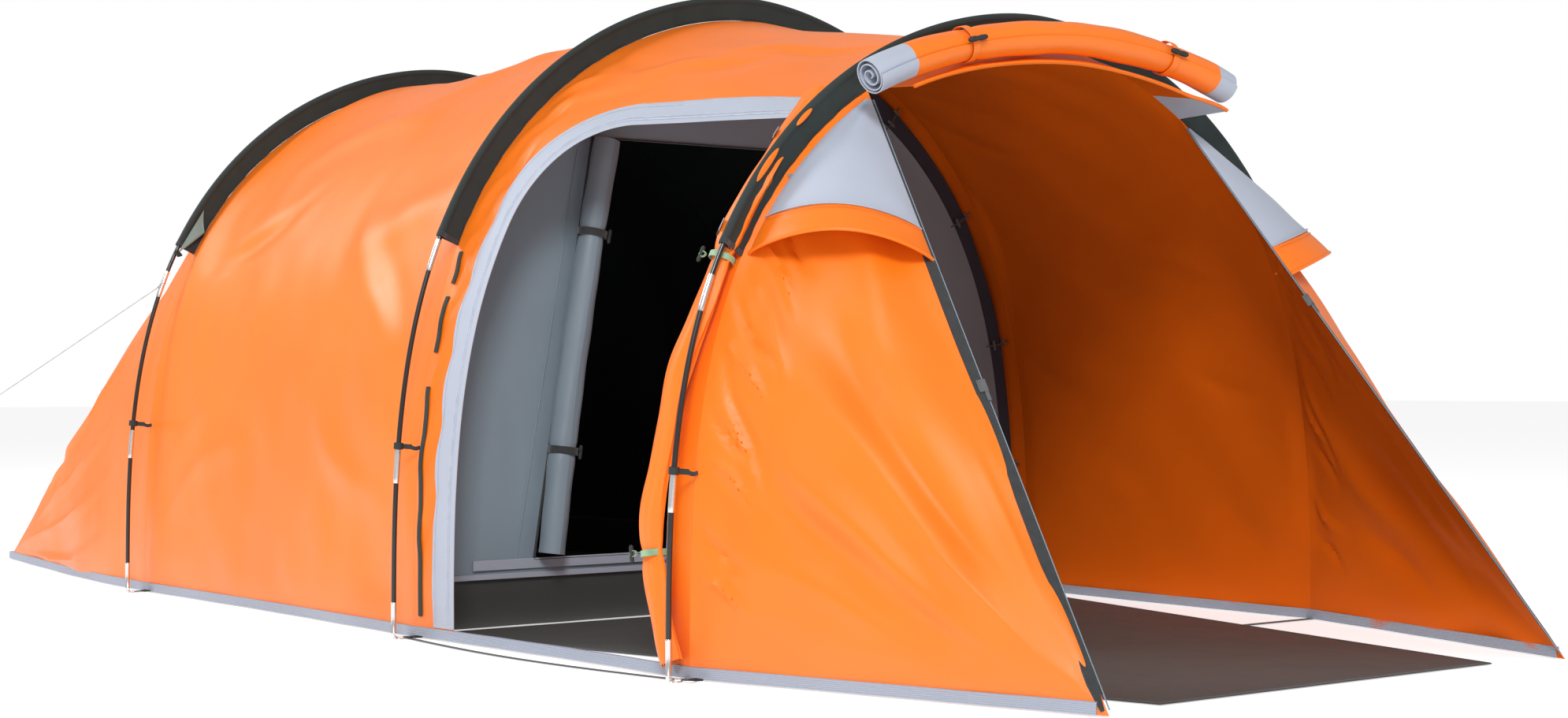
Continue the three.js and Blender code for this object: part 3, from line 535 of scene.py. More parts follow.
def cloth_material(name, colour, roughness=0.5, sheen=0.25, thread=0.0012, weave_depth=0.35, low=0.94,
                   high=1.05, dust=0.0, specular=0.3):
    """Woven cloth: two crossing sets of threads, a slow drift of its dye, and some dust near the ground."""
    material, tree = new_material(name)
    if tree is None:
        return material
    shader = set_shader(tree, Sheen_Weight=sheen, Sheen_Roughness=0.4, Roughness=roughness,
                        Specular_IOR_Level=specular)
    coordinates = add_node(tree, "ShaderNodeTexCoord", (-1200, 0))
    ramp = mottled_colour(tree, colour, low, high, 1.6, coordinates.outputs["Object"])
    colour_out = ramp.outputs["Color"]
    if dust:
        split = add_node(tree, "ShaderNodeSeparateXYZ", (-900, 600))
        height = add_node(tree, "ShaderNodeMapRange", (-700, 600))
        for key, value in (("From Min", 0.0), ("From Max", 0.22), ("To Min", dust), ("To Max", 0.0)):
            height.inputs[key].default_value = value
        mix = add_node(tree, "ShaderNodeMix", (-200, 450), data_type="RGBA")
        mix.inputs["B"].default_value = (0.32, 0.28, 0.23, 1)
        tree.links.new(coordinates.outputs["Object"], split.inputs[0])
        tree.links.new(split.outputs["Z"], height.inputs["Value"])
        tree.links.new(height.outputs["Result"], mix.inputs["Factor"])
        tree.links.new(colour_out, mix.inputs["A"])
        colour_out = mix.outputs["Result"]
    tree.links.new(colour_out, shader.inputs["Base Color"])
    weave = []
    for i, direction in enumerate(("X", "Y")):
        wave = add_node(tree, "ShaderNodeTexWave", (-700, -100 - 250 * i), bands_direction=direction)
        wave.inputs["Scale"].default_value = 0.314 / thread
        wave.inputs["Distortion"].default_value = 0.6
        wave.inputs["Detail"].default_value = 1.0
        tree.links.new(coordinates.outputs["UV"], wave.inputs["Vector"])
        weave.append(wave)
    crossed = add_node(tree, "ShaderNodeMath", (-450, -200), operation="MULTIPLY")
    tree.links.new(weave[0].outputs["Fac"], crossed.inputs[0])
    tree.links.new(weave[1].outputs["Fac"], crossed.inputs[1])
    slack = add_node(tree, "ShaderNodeTexNoise", (-700, -600))
    slack.inputs["Scale"].default_value = 9.0
    slack.inputs["Detail"].default_value = 3.0
    tree.links.new(coordinates.outputs["Object"], slack.inputs["Vector"])
    threads = add_node(tree, "ShaderNodeBump", (-250, -250))
    threads.inputs["Strength"].default_value = weave_depth
    threads.inputs["Distance"].default_value = 0.0003
    tree.links.new(crossed.outputs[0], threads.inputs["Height"])
    puckers = add_node(tree, "ShaderNodeBump", (-250, -500))
    puckers.inputs["Strength"].default_value = 0.25
    puckers.inputs["Distance"].default_value = 0.004
    tree.links.new(slack.outputs["Fac"], puckers.inputs["Height"])
    tree.links.new(puckers.outputs["Normal"], threads.inputs["Normal"])
    tree.links.new(threads.outputs["Normal"], shader.inputs["Normal"])
    gloss = add_node(tree, "ShaderNodeMapRange", (-450, 50))
    for key, value in (("To Min", roughness - 0.07), ("To Max", roughness + 0.08)):
        gloss.inputs[key].default_value = value
    tree.links.new(slack.outputs["Fac"], gloss.inputs["Value"])
    tree.links.new(gloss.outputs["Result"], shader.inputs["Roughness"])
    return material


def webbing_material(name, colour, rib=0.0035):
    """Woven ribbon with ribs across it and a bound edge."""
    material, tree = new_material(name)
    if tree is None:
        return material
    shader = set_shader(tree, Roughness=0.75, Sheen_Weight=0.3)
    coordinates = add_node(tree, "ShaderNodeTexCoord", (-1100, 0))
    ramp = mottled_colour(tree, colour, 0.8, 1.25, 40.0, coordinates.outputs["Object"])
    tree.links.new(ramp.outputs["Color"], shader.inputs["Base Color"])
    wave = add_node(tree, "ShaderNodeTexWave", (-700, -150), bands_direction="X")
    wave.inputs["Scale"].default_value = 0.314 / rib
    wave.inputs["Distortion"].default_value = 1.5
    wave.inputs["Detail Scale"].default_value = 3.0
    bump = add_node(tree, "ShaderNodeBump", (-250, -250))
    bump.inputs["Strength"].default_value = 0.6
    bump.inputs["Distance"].default_value = 0.0006
    tree.links.new(coordinates.outputs["UV"], wave.inputs["Vector"])
    tree.links.new(wave.outputs["Fac"], bump.inputs["Height"])
    tree.links.new(bump.outputs["Normal"], shader.inputs["Normal"])
    return material


def hard_material(name, colour, roughness, metallic=0.0, grain=300.0, depth=0.0002, scratches=False,
                  coat=0.0):
    """Rod, steel or moulded plastic: fine grain, with streaks along a scratched rod."""
    material, tree = new_material(name)
    if tree is None:
        return material
    shader = set_shader(tree, Metallic=metallic, Coat_Weight=coat, Roughness=roughness)
    coordinates = add_node(tree, "ShaderNodeTexCoord", (-1200, 0))
    source = coordinates.outputs["Object"]
    if scratches:
        stretch = add_node(tree, "ShaderNodeMapping", (-950, 0))
        stretch.inputs["Scale"].default_value = (0.06, 1.0, 1.0)
        tree.links.new(coordinates.outputs["UV"], stretch.inputs["Vector"])
        source = stretch.outputs["Vector"]
    ramp = mottled_colour(tree, colour, 0.82, 1.15, grain / 4, source)
    tree.links.new(ramp.outputs["Color"], shader.inputs["Base Color"])
    noise = add_node(tree, "ShaderNodeTexNoise", (-700, -200))
    noise.inputs["Scale"].default_value = grain
    noise.inputs["Detail"].default_value = 3.0
    tree.links.new(source, noise.inputs["Vector"])
    bump = add_node(tree, "ShaderNodeBump", (-250, -300))
    bump.inputs["Strength"].default_value = 0.25
    bump.inputs["Distance"].default_value = depth
    tree.links.new(noise.outputs["Fac"], bump.inputs["Height"])
    tree.links.new(bump.outputs["Normal"], shader.inputs["Normal"])
    gloss = add_node(tree, "ShaderNodeMapRange", (-450, -50))
    for key, value in (("To Min", max(0.05, roughness - 0.1)), ("To Max", roughness + 0.12)):
        gloss.inputs[key].default_value = value
    tree.links.new(noise.outputs["Fac"], gloss.inputs["Value"])
    tree.links.new(gloss.outputs["Result"], shader.inputs["Roughness"])
    return material


def settings():
    return bpy.context.scene.tent_settings


def fly_cloth():
    return cloth_material("fly_cloth", settings().fly_colour, roughness=0.36, sheen=0.0, dust=0.1,
                          specular=0.45)


def fly_lining_and_painted_shade():
    # The inside faces of the fly: the fly's dye made darker and redder, partly the inner coating's own darker
    # tone and partly painted shade of the tent's dim inside.
    red, green, blue = settings().fly_colour
    return cloth_material("fly_lining_and_painted_shade", (red * 0.78, green * 0.62, blue * 0.3), roughness=0.6, sheen=0.0,
                          specular=0.1)


def trim_cloth():
    return cloth_material("trim_cloth", settings().trim_colour, roughness=0.5, sheen=0.2, dust=0.1)


def sleeve_cloth():
    return cloth_material("sleeve_cloth", settings().sleeve_colour, roughness=0.68, sheen=0.0, thread=0.0018,
                          weave_depth=0.6, low=0.85, high=1.15)


def inner_cloth():
    return cloth_material("inner_cloth", settings().inner_colour, roughness=0.65, sheen=0.2, low=0.92,
                          high=1.07)


def canopy_cloth_in_painted_shade():
    # Painted shade: the inner tent's own dye darkened to 0.12, for the canopy, the rear wall and the inside
    # face of the front wall, where the tent's inside lies in shade.
    colour = [c * 0.12 for c in settings().inner_colour]
    return cloth_material("canopy_cloth_in_painted_shade", colour, roughness=0.8, sheen=0.05, low=0.9, high=1.1)


def floor_cloth():
    return cloth_material("floor_cloth", settings().floor_colour, roughness=0.52, sheen=0.1, thread=0.0025,
                          weave_depth=0.8, low=0.88, high=1.12, dust=0.05)


def black_webbing():
    return webbing_material("black_webbing", (0.02, 0.022, 0.024))


def green_webbing():
    return webbing_material("green_webbing", (0.24, 0.42, 0.25))


def hem_ribbon():
    return cloth_material("hem_ribbon", [c * 0.85 for c in settings().trim_colour], roughness=0.6, sheen=0.1,
                          thread=0.003, weave_depth=0.8, low=0.93, high=1.05)


def rod_black():
    return hard_material("rod_black", (0.012, 0.012, 0.013), 0.3, scratches=True, coat=0.3)


def steel():
    return hard_material("steel", (0.78, 0.79, 0.8), 0.22, metallic=1.0, scratches=True)


def dark_plastic():
    return hard_material("dark_plastic", (0.022, 0.024, 0.026), 0.42, depth=0.0004)


def grey_plastic():
    return hard_material("grey_plastic", (0.1, 0.105, 0.11), 0.45, depth=0.0004)


def seam_thread():
    return webbing_material("seam_thread", [min(1.0, c * 1.25) for c in settings().trim_colour], rib=0.002)


def orange_thread():
    return webbing_material("orange_thread", [c * 0.72 for c in settings().fly_colour], rib=0.002)


# ------------------------------------------------------------------ surfaces of the outer tent


def bay_points(back, front, shares, alongs, offset=0.0, sag=0.012):
    """Points of the fly between two hoops, as far outside it as offset. sag is its hollow between them."""
    a = HOOPS[back].at(shares, FLY_INSET - offset, GAP)
    b = HOOPS[front].at(shares, FLY_INSET - offset, -GAP)
    t = np.asarray(alongs)[None, :, None]
    points = a[:, None] * (1 - t) + b[:, None] * t
    ny, nz = HOOPS[back].inward(shares)
    hollow = sag * (4 * t * (1 - t))
    points[..., 1] += hollow[..., 0] * ny[:, None]
    points[..., 2] += hollow[..., 0] * nz[:, None]
    points[..., 2] = np.maximum(points[..., 2], HEM_LIFT)
    return points


def bay_relief(back, front, shares, alongs, seed, lines):
    """Folds of a bay, fading out where it is sewn to the hoops' sleeves and at the hem."""
    length = (HOOPS[back].length + HOOPS[front].length) / 2
    span = HOOPS[front].x - HOOPS[back].x
    u = np.asarray(shares) * length
    v = np.asarray(alongs) * span
    folds = ripple(u, v, seed, 0.7, 0.0045) + ripple(u, v, seed + 1, 0.23, 0.0012) + creases(u, v, lines)
    seam = smooth_step(np.minimum(v, span - v) / 0.06)
    low = smooth_step(np.minimum(u, length - u) / 0.14)
    return settings().fold_depth * folds * seam * low


def front_bay_relief(shares, alongs):
    """Pleats beside the middle hoop, where the doorway's facing draws the cloth, and folds over the roof."""
    lines = []
    for i in range(15):
        low = 0.15 + 0.1 * i
        lines.append((low, 0.0, low + 0.24, 0.13, 0.022, 0.0055 * (-1) ** i))
    for i in range(6):
        high = 1.55 + 0.1 * i
        lines.append((high, 0.03 + 0.1 * i, high + 0.16, 0.3 + 0.14 * i, 0.03, 0.0045 * (-1) ** i))
    lines += random_creases(5, 14, (1.8, 4.7, 0.1, 1.2), 1.4, 0.6, 0.05, 0.0035)
    beside = smooth_step((np.asarray(alongs) * (HOOPS["front"].x - HOOPS["mid"].x) - 0.09) / 0.05)
    calm = 1 - 0.88 * beside * smooth_step((0.36 - np.asarray(shares)) / 0.03)
    return bay_relief("mid", "front", shares, alongs, 23, lines) * calm


def door_top_at(x, rise):
    rear = HOOPS["mid"].x + DOOR["from_mid"]
    front = HOOPS["front"].x - DOOR["from_front"]
    slope = (DOOR["front_top"] - DOOR["rear_top"]) / (front - rear)
    return DOOR["rear_top"] + rise + slope * (x - rear)


def door_outline(grow_rear=0.0, grow_front=0.0, bottom=0.0, rise=0.0, steps=22):
    """The side doorway in the XZ plane, larger by what is given, with round top corners."""
    rear = HOOPS["mid"].x + DOOR["from_mid"] - grow_rear
    front = HOOPS["front"].x - DOOR["from_front"] + grow_front
    rear_corner, front_corner = DOOR_CORNER + rise, DOOR_FRONT_CORNER + grow_front
    rear_top = door_top_at(rear + rear_corner, rise)
    front_top = door_top_at(front - front_corner, rise)
    outline = [(rear, bottom)]
    for i in range(steps + 1):
        t = i / steps
        x = (1 - t) ** 2 * rear + 2 * t * (1 - t) * rear + t * t * (rear + rear_corner)
        z = (1 - t) ** 2 * (rear_top - rear_corner) + 2 * t * (1 - t) * rear_top + t * t * rear_top
        outline.append((x, z))
    for i in range(steps + 1):
        t = i / steps
        x = (1 - t) ** 2 * (front - front_corner) + 2 * t * (1 - t) * front + t * t * front
        z = (1 - t) ** 2 * front_top + 2 * t * (1 - t) * front_top + t * t * (front_top - front_corner)
        outline.append((x, z))
    outline.append((front, bottom))
    return np.array(outline)


def wing_point(side, share, reach):
    """A point of a wing: share runs up the front hoop, reach runs out to the front corner."""
    share = np.asarray(share, float)
    start = HOOPS["front"].at(np.where(side < 0, share, 1 - share), FLY_INSET, GAP)
    start[..., 2] = np.maximum(start[..., 2], HEM_LIFT)
    corner = np.array([FRONT_CORNER[0], side * FRONT_CORNER[1], HEM_LIFT])
    return start + (corner - start) * np.asarray(reach, float)[..., None]


def wing_normal(side):
    low, top = wing_point(side, WING_TOP - HOOD["drop"], 0.0), wing_point(side, WING_TOP, 0.0)
    edge = wing_point(side, WING_TOP, HOOD["reach"])
    normal = unit(np.cross(low - top, edge - top))
    return normal if normal[1] * side > 0 else -normal


def hood_point(side, down, across, lift=0.0):
    down, across = np.broadcast_arrays(np.asarray(down, float), np.asarray(across, float))
    share = WING_TOP - down * HOOD["drop"] * (1 - across)
    start = HOOD["start"] / (FRONT_CORNER[0] - HOOPS["front"].x)
    reach = start + down * (HOOD["reach"] - start) * across
    bulge = HOOD["standoff"] * down * np.sin(math.pi * np.clip(across, 0, 1)) ** 0.8
    return wing_point(side, share, reach) + wing_normal(side) * (HOOD["ease"] + bulge + lift)[..., None]


def rear_point(share, rise):
    """A point of the rear end: rise runs from the ground line up to the rear hoop."""
    rear = HOOPS["rear"]
    share, rise = np.broadcast_arrays(np.asarray(share, float), np.asarray(rise, float))
    turned = smooth_step((share * 16 - 4.2) / 7.6)
    ground = np.stack([np.full_like(share, REAR_CORNER[0]), (2 * turned - 1) * REAR_CORNER[1],
                       np.full_like(share, HEM_LIFT)], -1)
    top = rear.at(share, FLY_INSET, -GAP)
    rounded = rear.at(share, FLY_INSET - REAR_ROUNDING, -GAP)
    top[..., 2] = np.maximum(top[..., 2], HEM_LIFT)
    middle = ground + (rounded - ground) * REAR_ROUNDING_AT
    middle[..., 2] = np.maximum(middle[..., 2], HEM_LIFT)
    t = rise[..., None]
    k = REAR_ROUNDING_AT
    lower = ground + (middle - ground) * np.clip(t / k, 0, 1)
    upper = middle + (top - middle) * np.clip((t - k) / (1 - k), 0, 1)
    soft = np.exp(-((t - k) / 0.1) ** 2)
    chord = ground + (top - ground) * t
    curved = np.where(t < k, lower, upper)
    return curved + (chord - curved) * 0.22 * soft


# ------------------------------------------------------------------ the stage


class TentSettings(bpy.types.PropertyGroup):
    """Sizes and colours of the tent that a user may change."""

    fly_colour: FloatVectorProperty(name="Fly", description="Dye of the outer cloth", subtype="COLOR", size=3,
                                    min=0, max=1, default=(0.95, 0.195, 0.008))
    trim_colour: FloatVectorProperty(name="Trim", description="Dye of the door trim and hem", subtype="COLOR",
                                     size=3, min=0, max=1, default=(0.42, 0.46, 0.55))
    sleeve_colour: FloatVectorProperty(name="Sleeves", description="Dye of the pole sleeves", subtype="COLOR",
                                       size=3, min=0, max=1, default=(0.026, 0.037, 0.036))
    inner_colour: FloatVectorProperty(name="Inner tent", description="Dye of the inner tent", subtype="COLOR",
                                      size=3, min=0, max=1, default=(0.22, 0.28, 0.33))
    floor_colour: FloatVectorProperty(name="Floor", description="Colour of the floor cloths", subtype="COLOR",
                                      size=3, min=0, max=1, default=(0.05, 0.056, 0.054))
    fold_depth: FloatProperty(name="Fold depth", description="How deep the folds of the fly are",
                              subtype="FACTOR", min=0, max=4, default=2.3)
    hem_height: FloatProperty(name="Hem height", description="Height of the hem's ribbon", unit="LENGTH",
                              default=0.028)
    tape_width: FloatProperty(name="Zip tape width", description="Width of the tape on a wing's front edge",
                              unit="LENGTH", default=0.026)
    strap_width: FloatProperty(name="Strap width", description="Width of the straps round the rolled doors",
                               unit="LENGTH", default=0.022)
    stitch_pitch: FloatProperty(name="Stitch pitch", description="Distance from one stitch to the next",
                                unit="LENGTH", default=0.007)
    rod_sides: IntProperty(name="Rod sides", description="Faces round a pole", min=8, max=48, default=20)


class TENT_OT_stage(bpy.types.Operator):
    """Set up the pale floor, the soft light and the camera"""

    bl_idname = "tent.stage"
    bl_label = "Stage"

    def execute(self, context):
        scene = context.scene
        scene.view_settings.view_transform = "Standard"
        self.camera(scene)
        self.floor(scene)
        self.light(scene)
        return {"FINISHED"}

    def camera(self, scene):
        data = bpy.data.cameras.new("view")
        data.sensor_width = 36
        data.lens = 54.76
        data.clip_end = 200
        yaw, pitch, roll = 0.9082, 0.0089, -0.0023
        level = np.array([-math.sin(yaw), math.cos(yaw), 0]) * math.cos(pitch)
        forward = level + (0, 0, math.sin(pitch))
        right = unit(np.cross(forward, (0, 0, 1)))
        up = np.cross(right, forward)
        turned = math.cos(roll) * right + math.sin(roll) * up
        upright = math.cos(roll) * up - math.sin(roll) * right
        matrix = Matrix.Identity(4)
        for i in range(3):
            matrix[i][0], matrix[i][1], matrix[i][2] = turned[i], upright[i], -forward[i]
            matrix[i][3] = (6.5516, -4.4714, 0.7144)[i]
        camera = bpy.data.objects.new("view", data)
        scene.collection.objects.link(camera)
        camera.matrix_world = matrix
        scene.camera = camera

    def floor(self, scene):
        size = 60
        mesh = bpy.data.meshes.new("ground")
        corners = [(-size, -size, 0), (size, -size, 0), (size, size, 0), (-size, size, 0)]
        mesh.from_pydata(corners, [], [(0, 1, 2, 3)])
        material, tree = new_material("pale_floor")
        if tree:
            set_shader(tree, Base_Color=(0.75, 0.75, 0.75, 1), Roughness=0.95, Specular_IOR_Level=0.0,
                       Emission_Color=(1, 1, 1, 1), Emission_Strength=0.55)
        mesh.materials.append(material)
        ground = bpy.data.objects.new("ground", mesh)
        ground.location.z = -0.002
        scene.collection.objects.link(ground)

    def light(self, scene):
        world = bpy.data.worlds.new("studio")
        world.use_nodes = True
        world.node_tree.nodes["Background"].inputs["Color"].default_value = (1, 1, 1, 1)
        world.node_tree.nodes["Background"].inputs["Strength"].default_value = 0.5
        self.white_backdrop(world.node_tree)
        scene.world = world
        for name, spot, aim, size, power in (("key", (8.0, -6.0, 6.5), (1.0, 0, 0.8), 2.5, 600),
                                             ("side", (-6.0, -6.0, 7.0), (-0.3, 0, 0.7), 2.5, 480)):
            data = bpy.data.lights.new(name, "AREA")
            data.size = size
            data.energy = power
            lamp = bpy.data.objects.new(name, data)
            scene.collection.objects.link(lamp)
            away = unit(np.array(spot) - np.array(aim))
            across = unit(np.cross((0, 0, 1), away))
            up = np.cross(away, across)
            matrix = Matrix.Identity(4)
            for i in range(3):
                matrix[i][0], matrix[i][1], matrix[i][2], matrix[i][3] = across[i], up[i], away[i], spot[i]
            lamp.matrix_world = matrix

    def white_backdrop(self, tree):
        """The camera sees a white backdrop, which lights the tent less than it looks."""
        rays = tree.nodes.new("ShaderNodeLightPath")
        seen = tree.nodes.new("ShaderNodeBackground")
        seen.inputs["Color"].default_value = (1, 1, 1, 1)
        seen.inputs["Strength"].default_value = 1.0
        mix = tree.nodes.new("ShaderNodeMixShader")
        tree.links.new(rays.outputs["Is Camera Ray"], mix.inputs["Fac"])
        tree.links.new(tree.nodes["Background"].outputs[0], mix.inputs[1])
        tree.links.new(seen.outputs[0], mix.inputs[2])
        tree.links.new(mix.outputs[0], tree.nodes["World Output"].inputs["Surface"])


# ------------------------------------------------------------------ guy line


class TENT_OT_guy_line(bpy.types.Operator):
    """Make the guy line, taut from the rear pole to its peg, with its runner"""

    bl_idname = "tent.guy_line"
    bl_label = "Guy line"

    def execute(self, context):
        rear = HOOPS["rear"]
        share = (rear.upper_joint + FERRULE_LENGTH / 2) / rear.length
        pole = rear.at(share)
        peg = np.array([*GUY_PEG, GUY_PEG_HEIGHT])
        away = unit(peg - pole)
        start = pole + away * (FERRULE + 2 * CORD_RADIUS + KNOT_ROOM)
        end = peg - away * (KNOT_ROOM + 2 * CORD_RADIUS)
        path = start + (end - start) * np.linspace(0, 1, 24)[:, None]
        cord = webbing_material("guy_cord", (0.42, 0.44, 0.46), rib=0.003)
        line = sweep("guy_line_cord", path, circle(CORD_RADIUS, 10), [cord], (0, 0, 1))
        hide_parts("guy_line")
        level = unit(np.cross((0, 0, 1), away))
        above = np.cross(away, level)
        turn = np.linspace(0, 2 * math.pi, 25)
        loop = pole + away * 0.001 + (np.cos(turn)[:, None] * away + np.sin(turn)[:, None] * level) * 0.0112
        noose = sweep("guy_pole_loop", loop, circle(CORD_RADIUS, 8), [cord], above)
        ring = peg + (np.cos(turn)[:, None] * away + np.sin(turn)[:, None] * level) * 0.0052
        tied = sweep("guy_peg_loop", ring, circle(CORD_RADIUS, 8), [cord], above)
        for name, spot in (("guy_pole_knot", start + away * 0.004), ("guy_peg_knot", end - away * 0.004)):
            turns = np.linspace(0, 5 * math.pi, 50)
            coil = spot + (np.cos(turns)[:, None] * level + np.sin(turns)[:, None] * above) * 0.0026
            coil = coil + away * np.linspace(-0.006, 0.006, 50)[:, None]
            sweep(name, coil, circle(0.0012, 6), [cord], away)
        runner = self.runner(path, away, level, above)
        hooked = self.peg()
        return {"FINISHED"}

    def runner(self, path, away, level, above):
        """A flat slider with the cord through it, which takes up slack."""
        middle = path_spot(path, 0.8)
        outline = []
        for angle in np.linspace(0, 2 * math.pi, 40, endpoint=False):
            waist = 1 - 0.22 * math.sin(angle) ** 8
            outline.append((0.0072 * math.cos(angle) * waist, 0.0029 * math.sin(angle)))
        outline = np.array(outline)
        steps = np.linspace(-1, 1, 21)
        body = middle + away * (steps * 0.0225)[:, None]
        ends = np.sqrt(np.clip(1 - np.abs(steps) ** 6, 0.02, 1))
        swell = ends * (1 - 0.12 * np.cos(steps * math.pi) ** 2)
        piece = sweep("guy_runner", body, outline, [dark_plastic()], level, body="guy_slider_body",
                      scale=swell)
        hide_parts("guy_slider")
        return piece

    def peg(self):
        """A wire peg's hook, bent over away from the tent."""
        (x, y), height = GUY_PEG, GUY_PEG_HEIGHT
        bent = [(x - 0.005, y - 0.004, height + 0.014), (x - 0.017, y - 0.009, height + 0.015),
                (x - 0.0235, y - 0.012, height + 0.003)]
        path = smooth_path([(x, y, 0.0), (x, y, height * 0.6), (x, y, height), *bent], 40)
        piece = sweep("peg_hook", path, circle(0.003, 14), [steel()], (0.4, -0.9, 0.1))
        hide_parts("guy_peg")
        return piece


# ------------------------------------------------------------------ poles


class TENT_OT_poles(bpy.types.Operator):
    """Make the three hoops: black rods, steel ferrules and foot tips"""

    bl_idname = "tent.poles"
    bl_label = "Poles"

    def execute(self, context):
        sides = settings().rod_sides
        for name, hoop in HOOPS.items():
            lower, upper = hoop.lower_joint / hoop.length, hoop.upper_joint / hoop.length
            ferrule, gap = FERRULE_LENGTH / hoop.length, 0.0006 / hoop.length
            top = hoop.at(np.linspace(upper + gap, 1 - upper - gap, 120))
            arch = sweep(f"{name}_arch_rod", top, circle(ROD, sides), [rod_black()])
            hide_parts(f"{name}_pole_arch")
            for side_name, side in SIDES.items():
                def run(start, end, radius, steps, label, material, slot, bevel=0.0):
                    shares = np.linspace(start, end, steps)
                    path = hoop.at(mirrored(shares, side))
                    scale = np.ones(steps)
                    if bevel:
                        scale[0] = scale[-1] = bevel
                    return sweep(f"{name}_{label}_{side_name}", path, circle(radius, sides), [material],
                                 scale=scale)

                leg = run(lower + gap, upper, ROD, 30, "leg_rod", rod_black(), "black_rod")
                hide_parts(f"{name}_pole_leg_{side_name}")
                run(upper + gap, upper + ferrule, FERRULE, 14, "upper_ferrule", steel(), "bright_metal", 0.9)
                run(lower + gap, lower + ferrule, FERRULE, 14, "lower_ferrule", steel(), "bright_metal", 0.9)
                foot = run(0.06 / hoop.length, lower, ROD, 24, "foot_rod", rod_black(), "black_rod")
                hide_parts(f"{name}_pole_foot_{side_name}")
                self.tip(name, hoop, side_name, side, sides)
        return {"FINISHED"}

    def tip(self, name, hoop, side_name, side, sides):
        """The steel end of a pole, with a rolled rim and a chamfered foot."""
        rim = [(0.0003, 0.0048), (0.001, 0.0058), (0.003, 0.0064), (0.012, 0.0066), (0.0125, 0.0071),
               (0.014, 0.0071), (0.0145, 0.0067)]
        tube = [(0.06, 0.0076), (0.095, 0.0078), (0.0965, 0.0081), (0.0985, 0.0081), (0.0995, 0.0074)]
        heights, radii = np.array(rim + tube).T
        foot = np.array([hoop.x, side * hoop.half_span, 0])
        path = foot + heights[:, None] * (0, 0, 1)
        sweep(f"{name}_foot_tip_{side_name}", path, circle(1.0, sides), [steel()],
              scale=radii)


